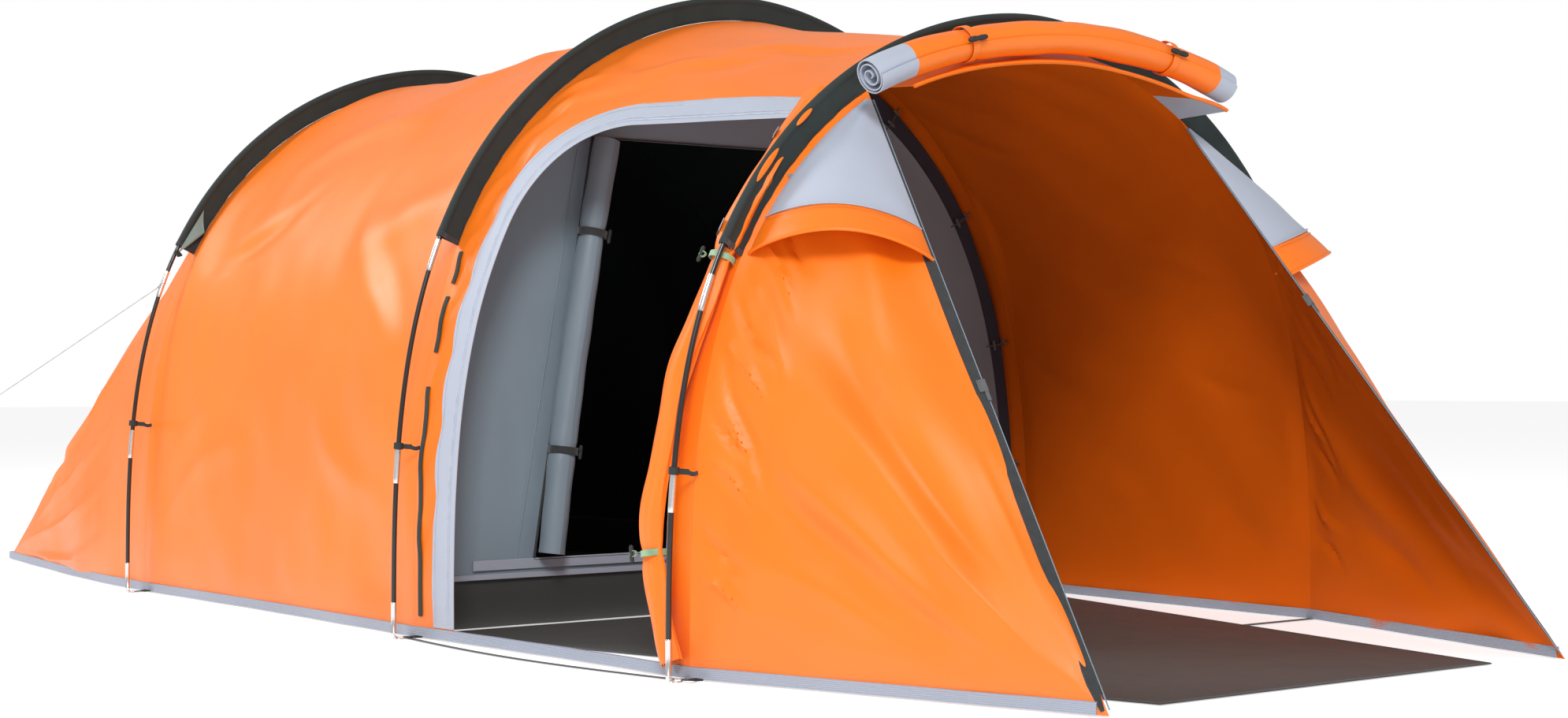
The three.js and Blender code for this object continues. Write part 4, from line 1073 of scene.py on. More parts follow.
class TENT_OT_sleeves(bpy.types.Operator):
    """Make the sleeves that hold the hoops on the fly"""

    bl_idname = "tent.sleeves"
    bl_label = "Pole sleeves"

    def execute(self, context):
        for name, hoop in HOOPS.items():
            start = (hoop.upper_joint + FERRULE_LENGTH + hoop.bare) / hoop.length
            shares = np.linspace(start, 1 - start, 170)
            path = hoop.at(shares)
            outer, hollow = self.outline(0.0115), self.outline(0.0102)
            run = shares * hoop.length
            slack = 0.0009 * np.sin(run * 46) + 0.0006 * np.sin(run * 101 + 1.3)
            puckers = np.repeat(outer[None], len(shares), axis=0)
            inner = np.repeat(hollow[None], len(shares), axis=0)
            webbed = outer[:, 1] > 0.013
            for lines in (puckers, inner):
                lines[:, webbed, 0] += (slack * 1.6)[:, None]
                lines[:, ~webbed, 0] *= 1 + (slack * 30)[:, None]
            mouth = 0.012 * smooth_step(1 - np.minimum(run - run[0], run[-1] - run) / 0.03)
            for lines in (puckers, inner):
                lines[:, ~webbed, :] *= 1 + (mouth * 14)[:, None, None] * 0.6
            piece = sweep(f"{name}_sleeve_cloth", path, puckers, [sleeve_cloth()],
                          inner=inner)
            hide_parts(f"{name}_pole_sleeve")
            self.bindings(name, hoop, start)
        self.slits()
        self.rear_flap()
        return {"FINISHED"}

    def slits(self):
        """Orange ovals laid on the front sleeve's near side, in place of openings that show the fly."""
        hoop = HOOPS["front"]
        lower = np.linspace(0, 0.5, 800)
        heights = hoop.at(lower)[:, 2]
        for i, (low, high, width) in enumerate(((1.2, 1.285, 0.0085), (1.345, 1.39, 0.007))):
            shares = np.linspace(np.interp(low, heights, lower), np.interp(high, heights, lower), 18)
            path = hoop.at(shares, 0.0, 0.0122)
            size = np.sqrt(np.clip(1 - np.linspace(-1, 1, 18) ** 2, 0.02, 1))
            sweep(f"front_sleeve_slit_{i + 1}", path, circle(1.0, 14) * (0.0025, width), [fly_cloth()],
                  scale=size)

    def rear_flap(self):
        """The loose end of the rear sleeve's lining, turned back, with the clip that pulls it down."""
        hoop = HOOPS["rear"]
        start = (hoop.upper_joint + FERRULE_LENGTH + hoop.bare) / hoop.length
        top, low = hoop.at(start + 0.03, 0.012, 0.012), hoop.at(start - 0.006, 0.004, 0.01)
        out = hoop.at(start + 0.016, 0.05, 0.028)
        s, t = np.linspace(0, 1, 14), np.linspace(0, 1, 14)
        edge = low[None] + (top - low)[None] * s[:, None]
        points = edge[:, None] + (out - edge)[:, None] * t[None, :, None] * 0.96
        points[..., 0] += 0.006 * np.sin(s[:, None] * 5) * np.sin(math.pi * t[None, :])
        green = cloth_material("sleeve_lining", (0.2, 0.27, 0.25), roughness=0.6, sheen=0.1)
        add_cloth("rear_sleeve_flap", points, [green, green], thickness=0.0012,
                  sheet=("stretched", ["rear_sleeve_cloth"]))
        line = low + (0.006, 0, 0) + np.linspace(-0.012, 0.012, 9)[:, None] * np.array([0.6, 0.3, -0.7])
        sweep("rear_sleeve_clip", line, rounded_bar(0.022, 0.007, 0.4), [dark_plastic()], (0, 1, 0))

    def outline(self, radius):
        """A drop shape: round over the pole and pinched into the seam of the fly."""
        angle = np.linspace(-0.22 * math.pi, 1.22 * math.pi, 22)
        head = np.stack([radius * np.cos(angle), radius * np.sin(angle)], -1)
        seam = -(FLY_INSET - 0.001)
        thin = 0.0022 if radius > 0.011 else 0.0010
        down = np.linspace(0.15, 1, 9)
        wide = thin + (radius * 0.77 - thin) * (1 - down) ** 1.7
        left = np.stack([-wide, -0.0073 + (seam + 0.0073) * down], -1)
        right = left[::-1] * (-1, 1)
        return np.concatenate([head, left, right]) * (1, -1)

    def bindings(self, name, hoop, start):
        """A stiff hem at each mouth of the sleeve."""
        for side_name, side in SIDES.items():
            shares = start + np.linspace(-0.002, 0.012, 8) / hoop.length
            path = hoop.at(mirrored(shares, side))
            outer, hollow = self.outline(0.0115) * (1.2, 1.0), self.outline(0.0102) * (1.1, 1.0)
            sweep(f"{name}_sleeve_mouth_{side_name}", path, outer, [black_webbing()],
                  inner=hollow)


# ------------------------------------------------------------------ the fly


class TENT_OT_fly(bpy.types.Operator):
    """Make the outer cloth: two bays, the rear end and the header over the front doorway"""

    bl_idname = "tent.fly"
    bl_label = "Fly"

    def execute(self, context):
        self.rear_bay()
        self.front_bay()
        self.rear_end()
        self.header()
        return {"FINISHED"}

    def rear_bay(self):
        shares, alongs = np.linspace(0, 1, 320), np.linspace(0, 1, 120)
        points = bay_points("rear", "mid", shares, alongs)
        lines = [(0.75, 1.85, 1.5, 1.15, 0.07, 0.007), (0.5, 1.8, 1.25, 1.25, 0.065, -0.006),
                 (0.35, 1.75, 0.75, 1.1, 0.06, 0.006), (1.55, 0.35, 1.75, 1.2, 0.07, 0.007),
                 (1.15, 0.1, 1.5, 0.8, 0.05, -0.007), (1.9, 0.9, 2.15, 1.75, 0.07, 0.008),
                 (0.2, 0.15, 0.55, 0.8, 0.05, 0.006)]
        lines += random_creases(3, 16, (0.2, 4.9, 0.1, 1.75), 1.0, 0.7, 0.075, 0.0045)
        relief = bay_relief("rear", "mid", shares[:, None], alongs[None, :], 11, lines)
        add_cloth("rear_bay_fly", points, [fly_cloth(), fly_lining_and_painted_shade()], relief=relief, node="rear_bay_cover",
                  sheet=("stretched", ["rear_sleeve_cloth", "mid_sleeve_cloth"]))

    def front_bay(self):
        shares = np.linspace(0, 1, 320)
        alongs = np.concatenate([np.linspace(0, 0.16, 26), np.linspace(0.16, 1, 56)[1:]])
        relief = front_bay_relief(shares[:, None], alongs[None, :])
        points = bay_points("mid", "front", shares, alongs)
        fly = add_cloth("front_bay_fly", points, [fly_cloth(), fly_lining_and_painted_shade()], relief=relief)
        opening = door_outline(bottom=DOOR["sill"] - 0.008)
        cutter = prism_along_y(opening, *CUTTER_REACH)
        cut_shape(fly, cutter, "DIFFERENCE")
        bpy.data.objects.remove(cutter)
        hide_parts("front_bay_cover")
        declare_sheet(points,
                      area=sheet_area(points) - DOORWAY_AREA)
        self.trim(shares, alongs)

    def trim(self, shares, alongs):
        """The pale facing sewn round the side doorway, turned in over the raw edge."""
        points = bay_points("mid", "front", shares[:160], alongs, offset=0.0022)
        trim = add_cloth("side_door_facing", points, [trim_cloth(), trim_cloth()], thickness=0.0018)
        edge = door_outline(TRIM["rear"], TRIM["front"], DOOR["sill"], TRIM["top"])
        outer = prism_along_y(edge, *CUTTER_REACH)
        opening = prism_along_y(door_outline(-0.003, -0.003, -0.1, -0.003), *CUTTER_REACH)
        cut_shape(trim, outer, "INTERSECT")
        cut_shape(trim, opening, "DIFFERENCE")
        bpy.data.objects.remove(outer)
        bpy.data.objects.remove(opening)
        self.follow_folds(trim)
        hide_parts("side_door_trim")

    def follow_folds(self, piece):
        """Moves a piece that was cut flat on the front bay's near side onto the bay's folds."""
        mid, front = HOOPS["mid"], HOOPS["front"]
        mesh = piece.data
        spots = np.empty(len(mesh.vertices) * 3, np.float32)
        mesh.vertices.foreach_get("co", spots)
        spots = spots.reshape(-1, 3).astype(float)
        shares = np.linspace(0, 0.5, 500)
        low, high = mid.at(shares, FLY_INSET), front.at(shares, FLY_INSET)
        t = (spots[:, 0] - mid.x) / (front.x - mid.x)
        best = np.empty(len(spots))
        for i, (spot, along) in enumerate(zip(spots, t)):
            line = low * (1 - along) + high * along
            best[i] = shares[np.argmin(((line[:, 1:] - spot[1:]) ** 2).sum(-1))]
        relief = front_bay_relief(best, t)
        across, up = mid.inward(best)
        spots -= relief[:, None] * np.stack([0 * across, across, up], -1)
        mesh.vertices.foreach_set("co", spots.astype(np.float32).ravel())
        mesh.update()

    def rear_end(self):
        shares, rises = np.linspace(0, 1, 150), np.linspace(0.0, 1, 70)
        points = rear_point(shares[None, :], rises[:, None])
        u, v = rises[:, None] * 1.9, shares[None, :] * 5.0
        lines = []
        for share in (0.05, 0.11, 0.17, 0.24, 0.76, 0.83, 0.89, 0.95):
            lines.append((0.25, share * 5.0, 1.6, share * 5.0, 0.035, 0.007))
        lines += random_creases(8, 14, (0.3, 1.7, 0.6, 4.4), 0.9, 0.7, 0.05, 0.006)
        folds = ripple(u, v, 31, 0.6, 0.0045) + creases(u, v, lines)
        window = smooth_step(rises / 0.3)[:, None] * smooth_step((1 - rises) / 0.05)[:, None]
        window = window * smooth_step(np.minimum(shares, 1 - shares) / 0.012)[None, :]
        relief = settings().fold_depth * folds * window
        add_cloth("rear_end_fly", points, [fly_cloth(), fly_lining_and_painted_shade()], relief=relief, node="rear_end_panel",
                  sheet=("stretched", ["rear_sleeve_cloth"]))

    def header(self):
        front = HOOPS["front"]
        shares = np.linspace(WING_TOP + 0.001, 1 - WING_TOP - 0.001, 90)
        depths = np.linspace(0, 1, 16)
        near = front.at(shares, FLY_INSET, GAP)
        sag = FLY_INSET + HEADER["drop"] + HEADER["sag"] * np.sin(math.pi * np.linspace(0, 1, 90))
        sag = sag - 0.02 * smooth_step(np.linspace(-6, 1, 90))
        far = front.at(shares, sag, HEADER["depth"])
        points = near[:, None] + (far - near)[:, None] * depths[None, :, None]
        u, v = shares[:, None] * front.length, depths[None, :] * 0.175
        relief = ripple(u, v, 41, 0.3, 0.002) * smooth_step(depths / 0.2)[None, :]
        add_cloth("front_header_fly", points, [fly_cloth(), fly_lining_and_painted_shade(), trim_cloth()], relief=relief,
                  node="front_door_header", sheet=("stretched", ["front_sleeve_cloth"]), front_rows=80,
                  both_faces=True)
        lip = front.at(shares, sag + 0.001, HEADER["depth"] - 0.002)
        sweep("front_header_hem", lip, rounded_bar(0.014, 0.01, 0.45), [fly_cloth()])


class TENT_OT_wings(bpy.types.Operator):
    """Make the two wings of the porch, with their zip tapes and vent hoods"""

    bl_idname = "tent.wings"
    bl_label = "Wings and vent hoods"

    def execute(self, context):
        for side_name, side in SIDES.items():
            self.wing(side_name, side)
            self.zip_tape(side_name, side)
            self.hood(side_name, side)
        return {"FINISHED"}

    def wing(self, side_name, side):
        shares, reaches = np.linspace(0, WING_TOP, 110), np.linspace(0, 1, 90)
        points = wing_point(side, shares[:, None], reaches[None, :])
        u = shares[:, None] * HOOPS["front"].length + 0 * reaches[None, :]
        v = reaches[None, :] * 1.5 + 0 * shares[:, None]
        lines = [(0.95, 0.1, 0.72, 1.2, 0.1, 0.012), (0.62, 0.15, 0.42, 1.1, 0.085, 0.009),
                 (1.25, 0.25, 1.05, 1.15, 0.1, -0.009), (0.8, 0.05, 0.5, 0.75, 0.08, -0.008),
                 (0.3, 0.1, 0.22, 0.9, 0.06, 0.006), (1.5, 0.1, 1.3, 0.55, 0.07, 0.006),
                 (1.1, 0.02, 0.85, 0.3, 0.025, 0.005), (0.9, 0.02, 0.62, 0.28, 0.022, -0.005),
                 (0.72, 0.02, 0.5, 0.26, 0.022, 0.005)]
        for i in range(9):
            low = 0.25 + 0.15 * i
            lines.append((low, 0.0, low - 0.08, 0.26, 0.016, 0.0055 * (-1) ** i))
        lines += random_creases(14 + side, 7, (0.1, 1.6, 0.1, 1.2), 1.7, 0.6, 0.07, 0.003)
        folds = ripple(u, v, 51 + side, 0.5, 0.005) + creases(u, v, lines)
        fade = smooth_step((1 - reaches) / 0.35)[None, :] * smooth_step(reaches / 0.03)[None, :]
        fade = fade * smooth_step((WING_TOP - shares) / 0.03)[:, None] * smooth_step(shares / 0.035)[:, None]
        relief = settings().fold_depth * folds * fade
        add_cloth(f"{side_name}_wing_fly", points, [fly_cloth(), fly_lining_and_painted_shade()], relief=relief,
                  node=f"{side_name}_wing_panel", sheet=("stretched", ["front_sleeve_cloth"]))

    def zip_tape(self, side_name, side):
        """Dark tape folded round the wing's front edge, with a fine pale cord behind it as a painted
        highlight along the edge.
        """
        reaches = np.linspace(0.02, 0.992, 80)
        edge = wing_point(side, WING_TOP, 0.0)
        tip = wing_point(side, WING_TOP, 1.0)
        down = unit(tip - edge)
        inside = unit(wing_point(side, WING_TOP * 0.8, 0.0) - edge)
        inside = unit(inside - (inside @ down) * down)
        out = np.cross(down, inside)
        out = out if out[1] * side > 0 else -out
        width = settings().tape_width
        path = wing_point(side, np.full(80, WING_TOP), reaches) + inside * (width / 2 - 0.004) - out * 0.001
        outline = rounded_bar(width, 0.0058, 0.4)
        fade = np.clip((1 - reaches) / 0.06 + 0.25, 0, 1)
        sweep(f"{side_name}_zip_tape", path, outline, [black_webbing()], inside,
              scale=fade)
        # A pale cord painted in as the highlight along the wing's edge.
        cord = wing_point(side, np.full(80, WING_TOP), reaches) - inside * 0.006 - out * 0.001
        sweep(f"{side_name}_edge_piping", cord, circle(0.0018, 8), [inner_cloth()], inside)

    def hood(self, side_name, side):
        rows, columns = 34, 60
        across = np.linspace(0, 1, columns)
        longest = 1 + HOOD["brim"] * np.sin(math.pi * across)
        downs = 0.03 + 0.97 * np.linspace(0, 1, rows)[:, None] * longest[None, :]
        points = hood_point(side, downs, across[None, :] + 0 * downs)
        normal = wing_normal(side)
        u, v = downs * 0.6, across[None, :] * 0.7 + 0 * downs
        relief = ripple(u, v, 61, 0.22, 0.0022) * smooth_step(np.minimum(across, 1 - across) / 0.1)[None, :]
        start = 27
        centre = wing_point(side, WING_TOP * 0.8, 0.15) - normal * 0.5
        add_cloth(f"{side_name}_hood_cloth", points, [trim_cloth(), fly_lining_and_painted_shade(), fly_cloth()], relief=relief,
                  away_from=centre, node=f"{side_name}_vent_hood",
                  sheet=("stretched", [f"{side_name}_wing_fly"]), front_rows=start)
        seam = points[start] + normal * 0.003
        sweep(f"{side_name}_hood_seam", seam, circle(0.0022, 6), [trim_cloth()], normal)
        brim = points[-1] - normal * 0.001
        sweep(f"{side_name}_hood_brim", brim, circle(0.0045, 8), [fly_cloth()], normal)
        low = hood_point(side, np.full(24, 0.62), np.linspace(0.03, 0.97, 24), -0.006)
        base = wing_point(side, WING_TOP - 0.62 * HOOD["drop"] * (1 - np.linspace(0.03, 0.97, 24)),
                          0.62 * HOOD["reach"] * np.linspace(0.03, 0.97, 24)) + normal * 0.003
        t = np.linspace(0, 1, 8)[:, None, None]
        net = base[None] * (1 - t) + low[None] * t
        add_cloth(f"{side_name}_vent_net", net, [inner_cloth(), inner_cloth()], thickness=0.001,
                  away_from=wing_point(side, WING_TOP, 0.0),
                  sheet=("stretched", [f"{side_name}_wing_fly"]))


class TENT_OT_hems(bpy.types.Operator):
    """Make the pale ribbon along the foot of the fly"""

    bl_idname = "tent.hems"
    bl_label = "Hems"

    def execute(self, context):
        height = settings().hem_height
        for side_name, side in SIDES.items():
            line = []
            share = 0.004
            for t in np.linspace(0.0, 1, 40):
                line.append(rear_point(mirrored(share, side), t))
            shares = [mirrored(share, side)]
            for back, front in (("rear", "mid"), ("mid", "front")):
                line += list(bay_points(back, front, shares, np.linspace(0.02, 0.98, 50))[0])
            for t in np.linspace(0.0, 1, 40):
                line.append(wing_point(side, share, t))
            line = np.array(line)
            line[:, 2] = HEM_LIFT + height / 2
            step = np.arange(len(line))
            wave = 0.0025 * np.sin(step * 0.55) + 0.002 * np.sin(step * 0.21 + 1)
            line[:, 1] += wave * 0.6
            line = smooth_path(line[::2], 260)
            sweep(f"{side_name}_hem_ribbon", line, self.ribbon(height), [hem_ribbon()], (0, 0, 1))
        shares = np.linspace(0.27, 0.73, 60)
        line = rear_point(shares, 0.004)
        line[:, 2] = HEM_LIFT + height / 2
        sweep("rear_hem_ribbon", line, self.ribbon(height), [hem_ribbon()], (0, 0, 1))
        return {"FINISHED"}

    def ribbon(self, height):
        """The outline of the hem: a strip folded round the cloth's edge, with three raised cords in it."""
        along = np.linspace(-1, 1, 25)
        swell = 0.0042 + 0.0013 * np.cos(along * 3 * math.pi) ** 2
        front = np.stack([along * height / 2, swell], -1)
        back = np.stack([along[::-1] * height / 2, -swell], -1)
        return np.concatenate([front, back])


# ------------------------------------------------------------------ rolled doors


def spiral_outline(radius, turns, cloth):
    """A sheet rolled up: its outer face from outside in, then its inner face back out."""
    count = int(turns * 30)
    angle = np.linspace(0, 2 * math.pi * turns, count)
    shrink = radius - (radius * 0.86) * (angle / angle[-1]) ** 1.7
    face = np.stack([shrink * np.cos(angle), shrink * np.sin(angle)], -1)
    lining = np.stack([(shrink - cloth) * np.cos(angle), (shrink - cloth) * np.sin(angle)], -1)[::-1]
    return np.concatenate([face, lining])


def strap_round(name, path, at, radius, width, material):
    """A strap that goes round a roll at a share of its length."""
    centre = path_spot(path, at)
    ahead = unit(path_spot(path, min(1, at + 0.01)) - path_spot(path, max(0, at - 0.01)))
    side = unit(np.cross(ahead, (0.3, 0.2, 1)))
    other = np.cross(ahead, side)
    turn = np.linspace(0, 2 * math.pi, 49)
    r = radius * (1 + 0.02 * np.cos(3 * turn))
    ring = centre + (np.cos(turn) * r)[:, None] * side + (np.sin(turn) * r)[:, None] * other
    return sweep(name, ring, rounded_bar(width, 0.0022, 0.4), [material], ahead)


def toggle_piece(name, node, thick=0.0058, length=0.044):
    """A moulded toggle with a waist for its loop, in place of a plain bar. Gives its swivel axis."""
    low, high = (np.array(c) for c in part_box(node))
    middle = (low + high) / 2
    joint = next(j for j in frame["joints"] if j["child"] == node + "_body")
    out = unit(np.array(joint["axis"], float))
    node_mesh = next(o for o in bpy.data.objects if o.name == node and o.type == "MESH")
    points = np.array([v.co[:] for v in node_mesh.data.vertices]) - middle
    along = unit(np.linalg.svd(points - points.mean(axis=0), full_matrices=False)[2][0])
    steps = np.linspace(-1, 1, 31)
    path = middle + along * (steps * length / 2)[:, None]
    waist = 0.78 + 0.22 * smooth_step(np.abs(steps) / 0.35)
    swell = np.sqrt(np.clip(1 - np.abs(steps) ** 8, 0.01, 1)) * waist
    outline = circle(thick, 18) * (1.0, 0.86)
    piece = sweep(name, path, outline, [dark_plastic()], out, body=node + "_body",
                  scale=swell)
    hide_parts(node)
    return out


class TENT_OT_rolled_doors(bpy.types.Operator):
    """Make the three rolled doors, their straps and their toggles"""

    bl_idname = "tent.rolled_doors"
    bl_label = "Rolled doors"

    def execute(self, context):
        self.front()
        self.side()
        self.inner()
        return {"FINISHED"}

    def declare_roll(self, piece, path, outline, rests_on):
        """Meant for a rolled door's flat size, its length and the length of its spiral, but it does nothing.
        """

    def loop(self, name, node, out, centre_line, material, slot, reach):
        """The loop that holds a toggle to its strap."""
        low, high = (np.array(c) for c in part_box(node))
        middle = (low + high) / 2
        turn = np.linspace(0, 2 * math.pi, 31)
        centre = middle - out * (reach / 2 - 0.004)
        ring = centre + (np.cos(turn) * reach / 2)[:, None] * out
        ring = ring + (np.sin(turn) * 0.007)[:, None] * centre_line
        sweep(name, ring, rounded_bar(0.007, 0.002, 0.4), [material], np.cross(out, centre_line))

    def front(self):
        hoop = HOOPS["front"]
        run = np.linspace(0, 1, 120)
        sag = ROLL["inset"] + ROLL["sag"] * np.sin(math.pi * run)
        path = hoop.at(ROLL["near"] + (ROLL["far"] - ROLL["near"]) * run, sag, ROLL["out"])
        wobble = 1 + 0.025 * np.sin(run * 21) + 0.015 * np.sin(run * 47 + 1)
        for at in (0.25, 0.81):
            wobble *= 1 - 0.09 * np.exp(-((run - at) / 0.022) ** 2)
        outline = spiral_outline(0.0465, 3.2, 0.003)
        turned = np.stack([outline] * 120)

        def which(i, rows):
            t = i / (rows - 2)
            return 1 if t < 0.085 or t > 0.955 else 0

        piece = sweep("front_rolled_door", path, turned, [fly_cloth(), trim_cloth()],
                      scale=wobble * 0.985, face_material=which)
        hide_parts("front_door_roll")
        self.declare_roll(piece, path, outline, "front_sleeve_cloth")
        for name, at in (("near", 0.25), ("far", 0.81)):
            strap_round(f"front_roll_strap_{name}", path, at, 0.0462, settings().strap_width, fly_cloth())
            node = f"front_roll_toggle_{name}"
            out = toggle_piece(f"front_roll_peg_{name}", node, 0.0085, 0.064)
            tangent = unit(path_spot(path, at + 0.01) - path_spot(path, at - 0.01))
            self.loop(f"front_roll_loop_{name}", node, out, tangent, fly_cloth(), "outer_fabric", 0.016)

    def side(self):
        mid, front = HOOPS["mid"], HOOPS["front"]
        outset = 0.027
        route = [(0.905, 0.345), (0.955, 0.2925), (0.958, 0.245), (0.95, 0.19), (0.921, 0.155), (0.912, 0.12),
                 (0.891, 0.0825), (0.902, 0.055), (0.935, 0.0225), (0.955, 0.008)]
        points = []
        for along, share in route:
            back, ahead = mid.at(share, FLY_INSET - outset), front.at(share, FLY_INSET - outset)
            spot = back * (1 - along) + ahead * along
            spot[0] = min(spot[0], front.x - 0.0115 - 0.033 - 0.0016 - 0.0015) + 0.022
            points.append(spot)
        path = smooth_path(points, 190)
        run = np.linspace(0, 1, 190)
        outline = spiral_outline(0.0325, 3.0, 0.003)
        angle = np.arctan2(outline[:, 1], outline[:, 0])
        rings = []
        for t in run:
            dent = 1 + 0.09 * np.sin(3 * angle + 9 * t) + 0.07 * np.sin(5 * angle - 14 * t + 1) \
                + 0.04 * np.sin(2 * angle + 31 * t) + 0.05 * np.sin(9 * angle + 6 * t)
            rings.append(outline * dent[:, None] * (1.22, 0.68))
        swell = 1 + 0.05 * np.sin(run * 26) + 0.035 * np.sin(run * 57 + 2)
        for at in (0.36, 0.83):
            swell *= 1 - 0.16 * np.exp(-((run - at) / 0.014) ** 2)
        piece = sweep("side_rolled_door", path, np.array(rings), [fly_cloth()],
                      scale=swell * 0.97)
        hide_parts("side_door_roll")
        self.declare_roll(piece, path, outline, "front_bay_fly")
        for name, at in (("top", 0.12), ("middle", 0.31)):
            spot, ahead = path_spot(path, at), unit(path_spot(path, at + 0.01) - path_spot(path, at - 0.01))
            line = spot + np.array([-0.03, -0.022, 0.0]) + ahead * np.linspace(-0.016, 0.016, 7)[:, None]
            sweep(f"side_roll_tab_{name}", line, rounded_bar(0.022, 0.003, 0.4), [black_webbing()],
                  (0.7, -0.7, 0))
            sweep(f"side_roll_tab_lining_{name}", line + np.array([0.014, -0.004, 0.012]),
                  rounded_bar(0.014, 0.002, 0.4), [trim_cloth()], (0.7, -0.7, 0))
        for name, at in (("upper", 0.36), ("lower", 0.83)):
            strap_round(f"side_roll_strap_{name}", path, at, 0.0315, 0.016, green_webbing())
            node = f"side_roll_toggle_{name}"
            out = toggle_piece(f"side_roll_peg_{name}", node)
            tangent = unit(path_spot(path, at + 0.01) - path_spot(path, at - 0.01))
            self.loop(f"side_roll_loop_{name}", node, out, tangent, green_webbing(), "webbing", 0.02)

    def inner(self):
        x = HOOPS["mid"].x - INNER_WALL_BACK + 0.044 + 0.0016 + 0.0015
        top = np.array([x, INNER_DOOR["near_top"] + 0.044 + 0.008, INNER_DOOR["top"] - 0.012])
        low = np.array([x, INNER_DOOR["near_sill"] + 0.044 + 0.018, INNER_DOOR["sill"] + 0.018])
        bend = (top + low) / 2
        bend[1] -= 0.016
        path = smooth_path([top, bend, low], 120)
        run = np.linspace(0, 1, 120)
        outline = spiral_outline(0.0435, 3.4, 0.003)
        swell = 1 + 0.02 * np.sin(run * 19) + 0.02 * np.sin(run * 43)
        for at in (0.23, 0.755):
            swell *= 1 - 0.1 * np.exp(-((run - at) / 0.016) ** 2)
        angle = np.arctan2(outline[:, 1], outline[:, 0])
        rings = [outline * (1 + 0.03 * np.sin(2 * angle + 7 * t) + 0.02 * np.sin(5 * angle - 11 * t))[:, None]
                 for t in run]
        pale = cloth_material("inner_door_cloth", [c * 0.95 for c in settings().inner_colour], roughness=0.36,
                              sheen=0.1)
        piece = sweep("inner_rolled_door", path, np.array(rings), [pale], (1, 0, 0),
                      scale=swell * 0.97)
        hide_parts("inner_door_roll")
        self.declare_roll(piece, path, outline, "inner_wall_cloth")
        for name, at in (("upper", 0.23), ("lower", 0.755)):
            strap_round(f"inner_roll_strap_{name}", path, at, 0.0425, settings().strap_width, black_webbing())
            node = f"inner_roll_toggle_{name}"
            out = toggle_piece(f"inner_roll_peg_{name}", node)
            tangent = unit(path_spot(path, at + 0.01) - path_spot(path, at - 0.01))
            self.loop(f"inner_roll_loop_{name}", node, out, tangent, black_webbing(), "webbing", 0.016)


# ------------------------------------------------------------------ the inner tent


def inner_arch(hoop, inset, dx, count):
    """A row of points on the inner tent's arch, from tub to tub."""
    shares = np.linspace(0, 0.5, 2000)
    z = hoop.at(shares, inset)[:, 2]
    first = shares[np.argmax(z >= TUB_HEIGHT + GAP)]
    row = hoop.at(np.linspace(first, 1 - first, count), inset, dx)
    row[0, 2] = row[-1, 2] = TUB_HEIGHT + GAP
    return row


